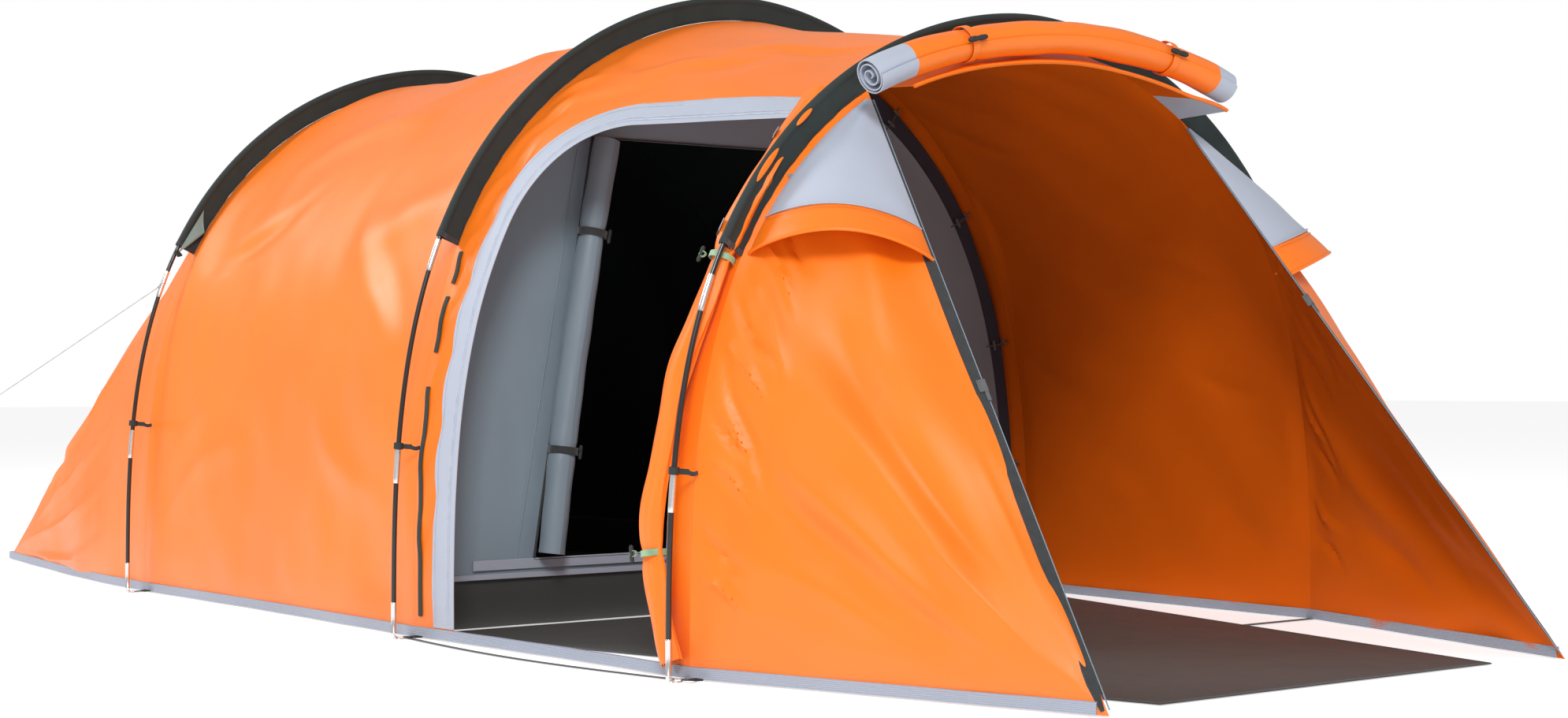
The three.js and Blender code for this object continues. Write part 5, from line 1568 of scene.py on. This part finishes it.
class TENT_OT_inner_tent(bpy.types.Operator):
    """Make the bedroom: its front wall, canopy, rear wall and floor tub"""

    bl_idname = "tent.inner_tent"
    bl_label = "Inner tent"

    def execute(self, context):
        self.wall()
        self.canopy()
        self.tub()
        return {"FINISHED"}

    def doorway(self, grow=0.0):
        """The inner doorway's outline in the YZ plane."""
        door = INNER_DOOR
        points = [(door["near_sill"] + NEAR_EDGE_COVER - grow, door["sill"] - grow),
                  (door["near_top"] + NEAR_EDGE_COVER - grow, door["top"] + grow)]
        corner = 0.07 + grow
        far, top = door["far_top"] + grow, door["top"] + grow
        for t in np.linspace(0, 1, 12):
            y = (1 - t) ** 2 * (far - corner) + 2 * t * (1 - t) * far + t * t * far
            z = (1 - t) ** 2 * top + 2 * t * (1 - t) * top + t * t * (top - corner)
            points.append((y, z))
        points.append((door["far_sill"] + grow, door["sill"] - grow))
        return np.array(points)

    def even(self, outline, count):
        """The outline as evenly spaced points, closed."""
        ring = np.concatenate([outline, outline[:1]])
        run = np.concatenate([[0], np.cumsum(np.linalg.norm(np.diff(ring, axis=0), axis=-1))])
        wanted = np.linspace(0, run[-1], count, endpoint=False)
        return np.stack([np.interp(wanted, run, ring[:, k]) for k in range(2)], -1)

    def wall(self):
        face = HOOPS["mid"].x - INNER_WALL_BACK
        row = inner_arch(HOOPS["mid"], INNER_INSET, 0, 160)[:, 1:]
        bottom = np.stack([np.linspace(row[-1, 0], row[0, 0], 60)[1:-1], np.full(58, TUB_HEIGHT + GAP)], -1)
        outer = np.concatenate([row, bottom])
        inner = self.doorway()
        centre = np.array([-0.1, 0.8])
        angles = np.unique(np.concatenate([
            np.arctan2(*(inner - centre).T[::-1]),
            np.linspace(-math.pi, math.pi, 300, endpoint=False),
            np.arctan2(*(np.array([row[0], row[-1]]) - centre).T[::-1])]))

        def reach(outline, angle):
            a = outline
            b = np.roll(outline, -1, axis=0)
            d = np.array([math.cos(angle), math.sin(angle)])
            e = b - a
            det = d[0] * -e[:, 1] + d[1] * e[:, 0]
            det = np.where(np.abs(det) < 1e-12, 1e-12, det)
            w = a - centre
            t = (w[:, 0] * -e[:, 1] + w[:, 1] * e[:, 0]) / det
            s = (d[0] * w[:, 1] - d[1] * w[:, 0]) / det
            hit = (s >= -1e-9) & (s <= 1 + 1e-9) & (t > 0)
            return centre + d * t[hit].max()

        ring_in = np.array([reach(inner, a) for a in angles])
        ring_out = np.array([reach(outer, a) for a in angles])
        steps = np.linspace(0, 1, 22)
        flat = ring_in[:, None] * (1 - steps[None, :, None]) + ring_out[:, None] * steps[None, :, None]
        flat = np.concatenate([flat, flat[:1]])
        y, z = flat[..., 0], flat[..., 1]
        billow = ripple(y, z, 71, 0.5, 0.003) + creases(y, z, [(-0.95, 1.2, -0.7, 0.4, 0.05, 0.006),
                                                              (-1.0, 0.9, -0.85, 0.3, 0.04, -0.005)])
        billow = billow * smooth_step(steps / 0.15)[None, :] * smooth_step((1 - steps) / 0.1)[None, :]
        points = np.stack([np.full_like(y, face - 0.0045) + billow, y, z], -1)
        vertices, faces, face_material, *_ = cloth_shell(points, 0.0015, 0.0, np.array([-3, 0, 0.8]), 0)
        # The wall's inside face takes the inner tent's dye darkened as painted shade.
        piece = new_piece("inner_wall_cloth", vertices, faces, [inner_cloth(), canopy_cloth_in_painted_shade()], TENT,
                          face_material, np.tile(np.stack([y, z], -1).reshape(-1, 2), (2, 1)))
        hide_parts("inner_front_wall")
        edge = np.concatenate([ring_in, ring_in[:1]])
        binding = np.stack([np.full(len(edge), face - 0.003), edge[:, 0], edge[:, 1]], -1)
        sweep("inner_doorway_binding", binding, rounded_bar(0.014, 0.005, 0.4), [black_webbing()], (1, 0, 0))
        sill = np.stack([np.full(40, face + 0.002), np.linspace(-0.98, 0.98, 40), np.full(40, 0.185)], -1)
        sweep("inner_sill_band", sill, rounded_bar(0.03, 0.003, 0.4), [hem_ribbon()], (0, 0, 1))
        foot = np.stack([np.full(40, face + 0.002), np.linspace(-1.05, 1.05, 40), np.full(40, 0.152)], -1)
        sweep("inner_foot_band", foot, rounded_bar(0.016, 0.003, 0.4), [hem_ribbon()], (0, 0, 1))
        seam = np.stack([np.full(40, face - 0.002), np.linspace(-0.62, -0.835, 40),
                         np.linspace(1.4, 0.2, 40)], -1)
        sweep("inner_wall_zip", seam, rounded_bar(0.005, 0.003, 0.4), [inner_cloth()], (0, 1, 0))
        self.gap_shade_sheet(face)

    def gap_shade_sheet(self, face):
        """A dark sheet of painted shade in the gap between the inner wall and the fly, with ties across the
        gap at points round the arch.
        """
        mid = HOOPS["mid"]
        shares = np.linspace(0.03, 0.97, 150)
        low = mid.at(shares, INNER_INSET - 0.004, face - mid.x - 0.008)
        high = mid.at(shares, FLY_INSET + 0.014, face - mid.x - 0.03)
        t = np.linspace(0, 1, 8)[None, :, None]
        points = low[:, None] * (1 - t) + high[:, None] * t
        points[..., 0] += ripple(shares[:, None] * 5, t[..., 0] * 0.1, 81, 0.35, 0.004)
        # Painted shade: a dark blue sheet stands for the shadowed inside seen through the gap.
        dark = cloth_material("gap_shade_sheet_cloth", (0.04, 0.062, 0.095), roughness=0.7, sheen=0.0)
        add_cloth("inner_wall_border", points, [dark, dark], thickness=0.0012,
                  away_from=np.array([-3, 0, 0.8]), sheet=("stretched", ["inner_wall_cloth"]))
        ties = (0.09, 0.22, 0.36, 0.64, 0.735, 0.83, 0.915)
        for i, share in enumerate(ties):
            a = mid.at(share, INNER_INSET + 0.02, face - mid.x + 0.004)
            b = mid.at(share, FLY_INSET + 0.012, face - mid.x + 0.002)
            sag = (a + b) / 2 + (0.006, 0, -0.004)
            path = smooth_path([a, sag, b], 16)
            pieces = [sweep("tie_cord", path, circle(0.0022, 6), [grey_plastic()], (1, 0, 0))]
            bar = unit(np.cross(b - a, (1, 0, 0)))
            for n, (t, half) in enumerate(((0.32, 0.017), (0.8, 0.013))):
                spot = path_spot(path, t)
                line = spot + bar * np.linspace(-half, half, 9)[:, None]
                scale = np.array([0.5, 0.9, 1, 0.85, 0.8, 0.85, 1, 0.9, 0.5])
                pieces.append(sweep("tie_bar", line, circle(0.0048, 8), [grey_plastic()], (1, 0, 0),
                                    scale=scale))
            joined(f"inner_tie_{i + 1}", pieces)

    def canopy(self):
        face = HOOPS["mid"].x - INNER_WALL_BACK
        count = 130
        rows = [inner_arch(HOOPS["mid"], INNER_INSET, face - 0.006 - HOOPS["mid"].x, count),
                inner_arch(HOOPS["rear"], INNER_INSET, 0, count)]
        end = Hoop(INNER_END[0], INNER_END[1], INNER_END[2], 0, 0, 0)
        rows.append(inner_arch(end, 0.0, 0, count))
        points = []
        for t in np.linspace(0, 1, 28):
            points.append(rows[0] * (1 - t) + rows[1] * t)
        for t in np.linspace(0, 1, 20)[1:]:
            points.append(rows[1] * (1 - t) + rows[2] * t)
        points = np.array(points)
        shares = np.linspace(0, 1, count)[None, :]
        length = np.linspace(0, 3.1, len(points))[:, None]
        relief = ripple(length, shares * 4, 91, 0.6, 0.008) * np.sin(math.pi * shares) ** 0.3
        points = points - grid_normals(points) * (0.004 + np.abs(relief))[..., None]
        add_cloth("inner_canopy_cloth", points, [canopy_cloth_in_painted_shade(), canopy_cloth_in_painted_shade()], thickness=0.0015,
                  node="inner_canopy", sheet=("hung", ["rear_bay_fly"]))
        seam_rows = (9, 19)
        for i, k in enumerate(seam_rows):
            line = points[k, 3:-3] - grid_normals(points)[k, 3:-3] * 0.004
            sweep(f"canopy_seam_{i + 1}", line, rounded_bar(0.014, 0.003, 0.4), [sleeve_cloth()], (1, 0, 0))
        for i, side in enumerate((-1, 1)):
            column = np.linspace(40, 22, 40)
            row = np.linspace(1, 27, 40)
            line = []
            for r, c in zip(row, column):
                c = c if side < 0 else count - 1 - c
                line.append(points[int(round(r)), int(round(c))])
            line = smooth_path(np.array(line)[::4], 60)
            centre = np.array([-0.3, 0, 0.6])
            line = line + unit(centre - line) * 0.01
            sweep(f"canopy_slant_seam_{i + 1}", line, circle(0.004, 6), [sleeve_cloth()], (1, 0, 0))
        last = rows[2]
        bottom = last[::-1].copy()
        bottom[:, 2] = TUB_HEIGHT + GAP
        t = np.linspace(0, 1, 12)[:, None, None]
        wall = last[None] * (1 - t) + bottom[None][:, ::-1] * t
        wall[..., 0] = INNER_END[0] - 0.0025
        add_cloth("inner_rear_cloth", wall, [canopy_cloth_in_painted_shade(), canopy_cloth_in_painted_shade()], thickness=0.0015,
                  away_from=np.array([0, 0, 0.3]), node="inner_rear_wall",
                  sheet=("hung", ["inner_canopy_cloth"]))

    def tub(self):
        """The waterproof floor with its walls turned up."""
        face = HOOPS["mid"].x - INNER_WALL_BACK - 0.004
        front = inner_arch(HOOPS["mid"], INNER_INSET, 0, 9)[-1, 1]
        middle = inner_arch(HOOPS["rear"], INNER_INSET, 0, 9)[-1, 1]
        end = INNER_END[1] * 0.972
        plan = np.array([(face, front), (HOOPS["rear"].x, middle), (INNER_END[0], end), (INNER_END[0], -end),
                         (HOOPS["rear"].x, -middle), (face, -front)])
        ring = []
        for a, b in zip(plan, np.roll(plan, -1, axis=0)):
            for t in np.linspace(0, 1, 26, endpoint=False):
                ring.append(a * (1 - t) + b * t)
        ring = np.array(ring + [ring[0]])
        centre = plan.mean(axis=0)
        base = 0.004
        rows = []
        for t in np.linspace(0, 1, 9):
            rows.append(np.column_stack([centre + (ring - centre) * 0.985 * t, np.full(len(ring), base)]))
        for t in np.linspace(0, 1, 7)[1:]:
            rows.append(np.column_stack([centre + (ring - centre) * (0.985 + 0.012 * smooth_step(t)),
                                         np.full(len(ring), base + (TUB_HEIGHT - base) * t)]))
        points = np.array(rows)
        inside = np.array([centre[0], centre[1], 3.0])
        u, v = points[..., 0], points[..., 1] + points[..., 2]
        relief = np.abs(ripple(u, v, 95, 0.4, 0.0012))
        relief[0] = relief[0].mean()
        add_cloth("inner_tub_cloth", points, [floor_cloth(), floor_cloth()], thickness=0.0016, relief=-relief,
                  away_from=inside, node="inner_floor_tub", sheet=("laid", ["ground"]),
                  ring=1)


# ------------------------------------------------------------------ ground


class TENT_OT_groundsheet(bpy.types.Operator):
    """Lay the groundsheet of the porch"""

    bl_idname = "tent.groundsheet"
    bl_label = "Groundsheet"

    def execute(self, context):
        low, high = (np.array(c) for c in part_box("porch_groundsheet"))
        low[0] = min(low[0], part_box("inner_floor_tub")[1][0] + 0.001)
        xs = np.linspace(low[0], high[0], 90)
        ys = np.linspace(-1, 1, 90)
        t = (xs - low[0]) / (high[0] - low[0])
        half = high[1] * (1 - t) + 0.6 * t
        points = np.stack([np.broadcast_to(xs[:, None], (90, 90)), half[:, None] * ys[None, :],
                           np.full((90, 90), 0.0021)], -1)
        u, v = points[..., 0], points[..., 1]
        lines = random_creases(17, 16, (0.8, 2.8, -0.9, 0.9), 0.4, 0.8, 0.03, 0.003)
        swell = np.abs(ripple(u, v, 97, 0.6, 0.0016)) + np.abs(creases(u, v, lines))
        edge = smooth_step(np.minimum(t, 1 - t) / 0.03)[:, None]
        edge = edge * smooth_step((1 - np.abs(ys)) / 0.05)[None, :]
        add_cloth("porch_floor_cloth", points, [floor_cloth(), floor_cloth()], thickness=0.0015,
                  relief=swell * edge, away_from=np.array([1.8, 0, -3]),
                  node="porch_groundsheet", sheet=("laid", ["ground"]))
        corners = np.array([points[0, 0], points[0, -1], points[-1, -1], points[-1, 0], points[0, 0]])
        rim = []
        for a, b in zip(corners[:-1], corners[1:]):
            rim += [a * (1 - s) + b * s for s in np.linspace(0, 1, 20, endpoint=False)]
        rim = np.array(rim + [corners[0]])
        middle = rim.mean(axis=0)
        rim = rim + unit(middle - rim) * 0.008
        rim[:, 2] = 0.0019
        sweep("porch_floor_hem", rim, rounded_bar(0.014, 0.0034, 0.45)[:, ::-1], [black_webbing()], (0, 0, 1))
        return {"FINISHED"}


class TENT_OT_webbing(bpy.types.Operator):
    """Make the base webbing, and the ring, pin and buckle at each foot"""

    bl_idname = "tent.webbing"
    bl_label = "Webbing and feet"

    def execute(self, context):
        for node in ("front_base_web_near", "front_base_web_far", "mid_base_web", "rear_base_web",
                     "side_web_near", "side_web_far"):
            self.web(node)
        for name, hoop in HOOPS.items():
            for side_name, side in SIDES.items():
                self.foot(name, hoop, side_name, side)
                self.clip(name, hoop, side_name, side)
        self.strips()
        return {"FINISHED"}

    def web(self, node):
        low, high = (np.array(c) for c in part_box(node))
        if node.startswith("side_web"):
            side = -1 if node.endswith("near") else 1
            ends = [(low[0], side * (HOOPS["mid"].half_span - FLY_INSET / 2)),
                    (high[0], side * (HOOPS["front"].half_span - FLY_INSET / 2))]
            width = 0.0165
            axis = (0, 1, 0)
        else:
            x = (low[0] + high[0]) / 2
            ends = [(x, low[1]), (x, high[1])]
            width = 0.034 if node == "mid_base_web" else 0.0248
            axis = (1, 0, 0)
        t = np.linspace(0, 1, 60)
        path = np.stack([np.interp(t, (0, 1), (ends[0][0], ends[1][0])),
                         np.interp(t, (0, 1), (ends[0][1], ends[1][1])), np.full(60, 0.001)], -1)
        if node.startswith("side_web"):
            path[:, 1] += side * 0.05 * np.sin(math.pi * t)
        piece = sweep(f"{node}_ribbon", path, rounded_bar(width, 0.0017, 0.4), [black_webbing()], axis)
        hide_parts(node)

    def foot(self, name, hoop, side_name, side):
        """The ring on the ground beside the foot, the bent pin, and the buckle on its webbing tab."""
        node = f"{name}_peg_ring_{side_name}"
        y = side * (hoop.half_span + 0.0024)
        turn = np.linspace(0, 2 * math.pi, 41)
        ring = np.stack([hoop.x + 0.034 + 0.014 * np.cos(turn), y + 0.014 * np.sin(turn),
                         np.full(41, 0.0025)], -1)
        body = node + "_body"
        piece = sweep(f"{node}_wire", ring, circle(0.0023, 10), [steel()], (0, 0, 1), body=body)
        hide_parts(node)
        inner_y = side * (hoop.half_span - 0.045)
        path = smooth_path([(hoop.x + 0.05, inner_y, 0.003),
                            (hoop.x + 0.036, side * (hoop.half_span - 0.03), 0.004),
                            (hoop.x + 0.034, side * (hoop.half_span - 0.018), 0.005)], 20)
        sweep(f"{name}_foot_tab_{side_name}", path, rounded_bar(0.018, 0.002, 0.4), [black_webbing()])
        pin = smooth_path([(hoop.x + 0.008, side * hoop.half_span, 0.013),
                           (hoop.x + 0.012, side * hoop.half_span, 0.006),
                           (hoop.x + 0.02, side * (hoop.half_span - 0.002), 0.004),
                           (hoop.x + 0.03, side * (hoop.half_span - 0.014), 0.004)], 24)
        sweep(f"{name}_foot_pin_{side_name}", pin, circle(0.002, 8), [steel()], (0, 1, 0))
        buckle = np.array([hoop.x + 0.056, side * (hoop.half_span - 0.04), 0.006])
        outline = np.array([(-1, -1, 0), (1, -1, 0), (1, 1, 0), (-1, 1, 0), (-1, -1, 0)])
        sweep(f"{name}_foot_buckle_{side_name}", buckle + outline * (0.013, 0.01, 0), circle(0.0024, 8),
              [dark_plastic()], (0, 0, 1))

    def clip(self, name, hoop, side_name, side):
        """A hook that snaps on the pole, on a short strap sewn to the fly."""
        s = mirrored({"rear": 0.1135, "mid": 0.1045, "front": 0.1065}[name], side)
        centre = hoop.at(s)
        along = unit(hoop.at(s + 0.002) - hoop.at(s - 0.002))
        inward = np.array([0, *np.array(hoop.inward(s))])
        turn = np.linspace(0, 2 * math.pi, 29)
        radius = FERRULE + 0.0035 if name == "rear" else ROD + 0.004
        ring = centre + np.cos(turn)[:, None] * inward * radius \
            + np.sin(turn)[:, None] * np.array([1.0, 0, 0]) * radius
        pieces = [sweep("hook", ring, rounded_bar(0.019, 0.0045, 0.4), [dark_plastic()], along)]
        arm = centre + inward * np.linspace(radius, 0.036, 8)[:, None] + np.array([0.012, 0, 0]) * \
            np.linspace(0, 1, 8)[:, None]
        pieces.append(sweep("arm", arm, rounded_bar(0.014, 0.004, 0.4), [dark_plastic()], along))
        joined(f"{name}_pole_hook_{side_name}", pieces)
        start, end = centre + inward * 0.03 + (0.01, 0, 0), hoop.at(s, FLY_INSET - 0.002, 0.014)
        strap = smooth_path([start, (start + end) / 2 + (0.004, 0, -0.004), end], 14)
        sweep(f"{name}_hook_strap_{side_name}", strap, rounded_bar(0.011, 0.0022, 0.4), [black_webbing()],
              along)

    def strips(self):
        """Dark reinforcing tape sewn on the fly beside the middle hoop's legs."""
        for side_name, side in SIDES.items():
            for i, (z0, z1) in enumerate(((0.04, 0.69), (0.79, 0.96), (1.0, 1.1))):
                shares = np.linspace(z0, z1, 40) / HOOPS["mid"].length + 0.004
                alongs = np.array([0.028, 0.033])
                points = bay_points("mid", "front", mirrored(shares, side), alongs, offset=0.0035)
                relief = front_bay_relief(mirrored(shares, side)[:, None], alongs[None, :])[..., None]
                across, up = HOOPS["mid"].inward(mirrored(shares, side))
                points -= relief * np.stack([0 * across, across, up], -1)[:, None]
                path = points.mean(axis=1)
                run = np.linspace(0, 1, 40)
                path[:, 0] += 0.003 * np.sin(run * 5)
                sweep(f"{side_name}_mid_tape_{i + 1}", path, rounded_bar(0.02, 0.0022, 0.4), [sleeve_cloth()],
                      (1, 0, 0))


# ------------------------------------------------------------------ small hard parts and stitches


class TENT_OT_small_parts(bpy.types.Operator):
    """Finish the zip sliders and the struts of the vent hoods"""

    bl_idname = "tent.small_parts"
    bl_label = "Sliders and struts"

    def execute(self, context):
        for side_name in SIDES:
            for node in (f"front_zip_slider_{side_name}", f"{side_name}_vent_prop"):
                part = bpy.data.objects[node]
                part.data.materials.clear()
                part.data.materials.append(grey_plastic())
        return {"FINISHED"}


def row_tree(name, sizes, finish_name, add_shape):
    """Geometry nodes: a small shape at even steps along each line, with named sizes and a finish."""
    tree = bpy.data.node_groups.new(name, "GeometryNodeTree")
    face = tree.interface
    face.new_socket(name="Geometry", in_out="INPUT", socket_type="NodeSocketGeometry")
    sockets = {}
    for size_name, value in sizes.items():
        socket = face.new_socket(name=size_name, in_out="INPUT", socket_type="NodeSocketFloat")
        socket.default_value = value
        sockets[size_name] = socket.identifier
    socket = face.new_socket(name=finish_name, in_out="INPUT", socket_type="NodeSocketMaterial")
    sockets[finish_name] = socket.identifier
    face.new_socket(name="Geometry", in_out="OUTPUT", socket_type="NodeSocketGeometry")
    nodes, links = tree.nodes, tree.links
    entry, leave = nodes.new("NodeGroupInput"), nodes.new("NodeGroupOutput")
    line = nodes.new("GeometryNodeMeshToCurve")
    spots = nodes.new("GeometryNodeCurveToPoints")
    spots.mode = "LENGTH"
    shape = add_shape(nodes, links, entry)
    copies = nodes.new("GeometryNodeInstanceOnPoints")
    real = nodes.new("GeometryNodeRealizeInstances")
    finish = nodes.new("GeometryNodeSetMaterial")
    for i, node in enumerate((entry, line, spots, shape, copies, real, finish, leave)):
        node.location = (200 * i, -160 if node == shape else 0)
    links.new(entry.outputs["Geometry"], line.inputs["Mesh"])
    links.new(line.outputs["Curve"], spots.inputs["Curve"])
    links.new(entry.outputs["Pitch"], spots.inputs["Length"])
    links.new(spots.outputs["Points"], copies.inputs["Points"])
    links.new(spots.outputs["Rotation"], copies.inputs["Rotation"])
    links.new(shape.outputs["Mesh"], copies.inputs["Instance"])
    links.new(copies.outputs["Instances"], real.inputs["Geometry"])
    links.new(real.outputs["Geometry"], finish.inputs["Geometry"])
    links.new(entry.outputs[finish_name], finish.inputs["Material"])
    links.new(finish.outputs["Geometry"], leave.inputs["Geometry"])
    return tree, sockets


def thread_shape(nodes, links, entry):
    """One stitch: a short five-sided length of thread."""
    thread = nodes.new("GeometryNodeMeshCylinder")
    thread.inputs["Vertices"].default_value = 5
    links.new(entry.outputs["Thread Radius"], thread.inputs["Radius"])
    links.new(entry.outputs["Stitch Length"], thread.inputs["Depth"])
    return thread


def tooth_shape(nodes, links, entry):
    """One zip tooth: a block a little over half the pitch long."""
    size = nodes.new("ShaderNodeCombineXYZ")
    depth = nodes.new("ShaderNodeMath")
    depth.operation = "MULTIPLY"
    depth.inputs[1].default_value = 0.55
    tooth = nodes.new("GeometryNodeMeshCube")
    for i, node in enumerate((depth, size)):
        node.location = (200 + 200 * i, -320)
    links.new(entry.outputs["Pitch"], depth.inputs[0])
    links.new(entry.outputs["Tooth Width"], size.inputs["X"])
    links.new(entry.outputs["Tooth Height"], size.inputs["Y"])
    links.new(depth.outputs[0], size.inputs["Z"])
    links.new(size.outputs[0], tooth.inputs["Size"])
    return tooth


def grow_along(name, lines, tree, values):
    """Runs a node tree on lines of points, and keeps the result as a plain mesh piece."""
    vertices, edges = [], []
    for line in lines:
        first = len(vertices)
        vertices += np.asarray(line, float).tolist()
        edges += [(first + i, first + i + 1) for i in range(len(line) - 1)]
    mesh = bpy.data.meshes.new(name + "_lines")
    mesh.from_pydata(vertices, edges, [])
    host = bpy.data.objects.new(name + "_lines", mesh)
    bpy.context.scene.collection.objects.link(host)
    modifier = host.modifiers.new("grow", "NODES")
    modifier.node_group = tree
    for key, value in values.items():
        modifier[key] = value
    evaluated = host.evaluated_get(bpy.context.evaluated_depsgraph_get())
    grown = bpy.data.meshes.new_from_object(evaluated)
    bpy.data.objects.remove(host)
    bpy.data.meshes.remove(mesh)
    grown.name = name
    piece = bpy.data.objects.new(name, grown)
    bpy.context.scene.collection.objects.link(piece)
    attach(piece, TENT)
    return piece


class TENT_OT_stitching(bpy.types.Operator):
    """Sew the stitch rows of the door facing, hoods and sleeves, and the zip teeth"""

    bl_idname = "tent.stitching"
    bl_label = "Stitches and teeth"

    def execute(self, context):
        sizes = {"Pitch": 0.007, "Stitch Length": 0.0045, "Thread Radius": 0.0008}
        tree, sockets = row_tree("stitch_row", sizes, "Thread", thread_shape)
        pitch = settings().stitch_pitch

        def rows(name, lines, material, slot, radius=0.0008):
            values = {sockets["Pitch"]: pitch, sockets["Stitch Length"]: pitch * 0.62,
                      sockets["Thread Radius"]: radius, sockets["Thread"]: material}
            grow_along(name, lines, tree, values)

        rows("door_facing_stitches", self.facing_lines(), seam_thread(), "trim_fabric", 0.0009)
        sleeve_lines = []
        for hoop in HOOPS.values():
            start = (hoop.upper_joint + FERRULE_LENGTH + hoop.bare) / hoop.length
            for dx in (-0.0034, 0.0034):
                shares = np.linspace(start + 0.004, 0.996 - start, 200)
                sleeve_lines.append(hoop.at(shares, FLY_INSET - 0.008, dx))
        rows("sleeve_stitches", sleeve_lines, sleeve_cloth(), "sleeve_fabric")
        hood_lines = []
        for side in SIDES.values():
            across = np.linspace(0.03, 0.97, 60)
            for down in (0.845, 0.995):
                reach = down * (1 + HOOD["brim"] * np.sin(math.pi * across))
                hood_lines.append(hood_point(side, reach, across, 0.0025))
        rows("hood_stitches", hood_lines, orange_thread(), "outer_fabric")
        self.teeth()
        return {"FINISHED"}

    def facing_lines(self):
        """Two parallel rows inside the facing's outer edge, and one at the doorway."""
        lines = []
        for rear, front, rise in ((0.086, 0.011, 0.052), (0.028, 0.008, 0.02), (0.02, 0.005, 0.012)):
            outline = door_outline(rear, front, 0.05, rise, 20)
            ring = np.concatenate([np.linspace(outline[0], outline[1], 30)[:-1], outline[1:-1],
                                   np.linspace(outline[-2], outline[-1], 30)[1:]])
            line = []
            mid, fore = HOOPS["mid"], HOOPS["front"]
            shares = np.linspace(0, 0.5, 300)
            for x, z in ring:
                t = (x - mid.x) / (fore.x - mid.x)
                relief = front_bay_relief(shares, t)
                points = bay_points("mid", "front", shares, np.array([t]), offset=0.0042)[:, 0]
                across, up = mid.inward(shares)
                points -= relief[:, None] * np.stack([0 * across, across, up], -1)
                line.append([x, np.interp(z, points[:, 2], points[:, 1]), z])
            lines.append(np.array(line))
        return lines

    def teeth(self):
        sizes = {"Pitch": 0.005, "Tooth Width": 0.005, "Tooth Height": 0.003}
        tree, sockets = row_tree("zip_teeth", sizes, "Finish", tooth_shape)
        lines = []
        for side in SIDES.values():
            reaches = np.linspace(0.03, 0.97, 60)
            edge = wing_point(side, np.full(60, WING_TOP), reaches)
            down = unit(edge[-1] - edge[0])
            inside = unit(wing_point(side, WING_TOP * 0.8, 0.0) - wing_point(side, WING_TOP, 0.0))
            inside = unit(inside - (inside @ down) * down)
            out = np.cross(down, inside)
            out = out if out[1] * side > 0 else -out
            lines.append(edge - inside * 0.0045 - out * 0.001)
        values = {sockets[name]: size for name, size in sizes.items()}
        values[sockets["Finish"]] = dark_plastic()
        grow_along("wing_zip_teeth", lines, tree, values)


# ------------------------------------------------------------------ panel and run

OPERATORS = (TENT_OT_stage, TENT_OT_guy_line, TENT_OT_poles, TENT_OT_sleeves, TENT_OT_fly, TENT_OT_wings,
             TENT_OT_hems, TENT_OT_rolled_doors, TENT_OT_inner_tent, TENT_OT_groundsheet, TENT_OT_webbing,
             TENT_OT_small_parts, TENT_OT_stitching)


class TENT_PT_panel(bpy.types.Panel):
    """The tent's settings and its makers"""

    bl_idname = "TENT_PT_panel"
    bl_label = "Tent on poles"
    bl_space_type = "VIEW_3D"
    bl_region_type = "UI"
    bl_category = "Tent"

    def draw(self, context):
        for name in TentSettings.__annotations__:
            self.layout.prop(context.scene.tent_settings, name)
        for operator in OPERATORS:
            self.layout.operator(operator.bl_idname)


CLASSES = (TentSettings, *OPERATORS, TENT_PT_panel)


def register():
    for item in CLASSES:
        bpy.utils.register_class(item)
    bpy.types.Scene.tent_settings = PointerProperty(type=TentSettings)


def unregister():
    del bpy.types.Scene.tent_settings
    for item in reversed(CLASSES):
        bpy.utils.unregister_class(item)


def main():
    register()
    for operator in OPERATORS:
        group, name = operator.bl_idname.split(".")
        getattr(getattr(bpy.ops, group), name)()


if __name__ == "__main__":
    main()
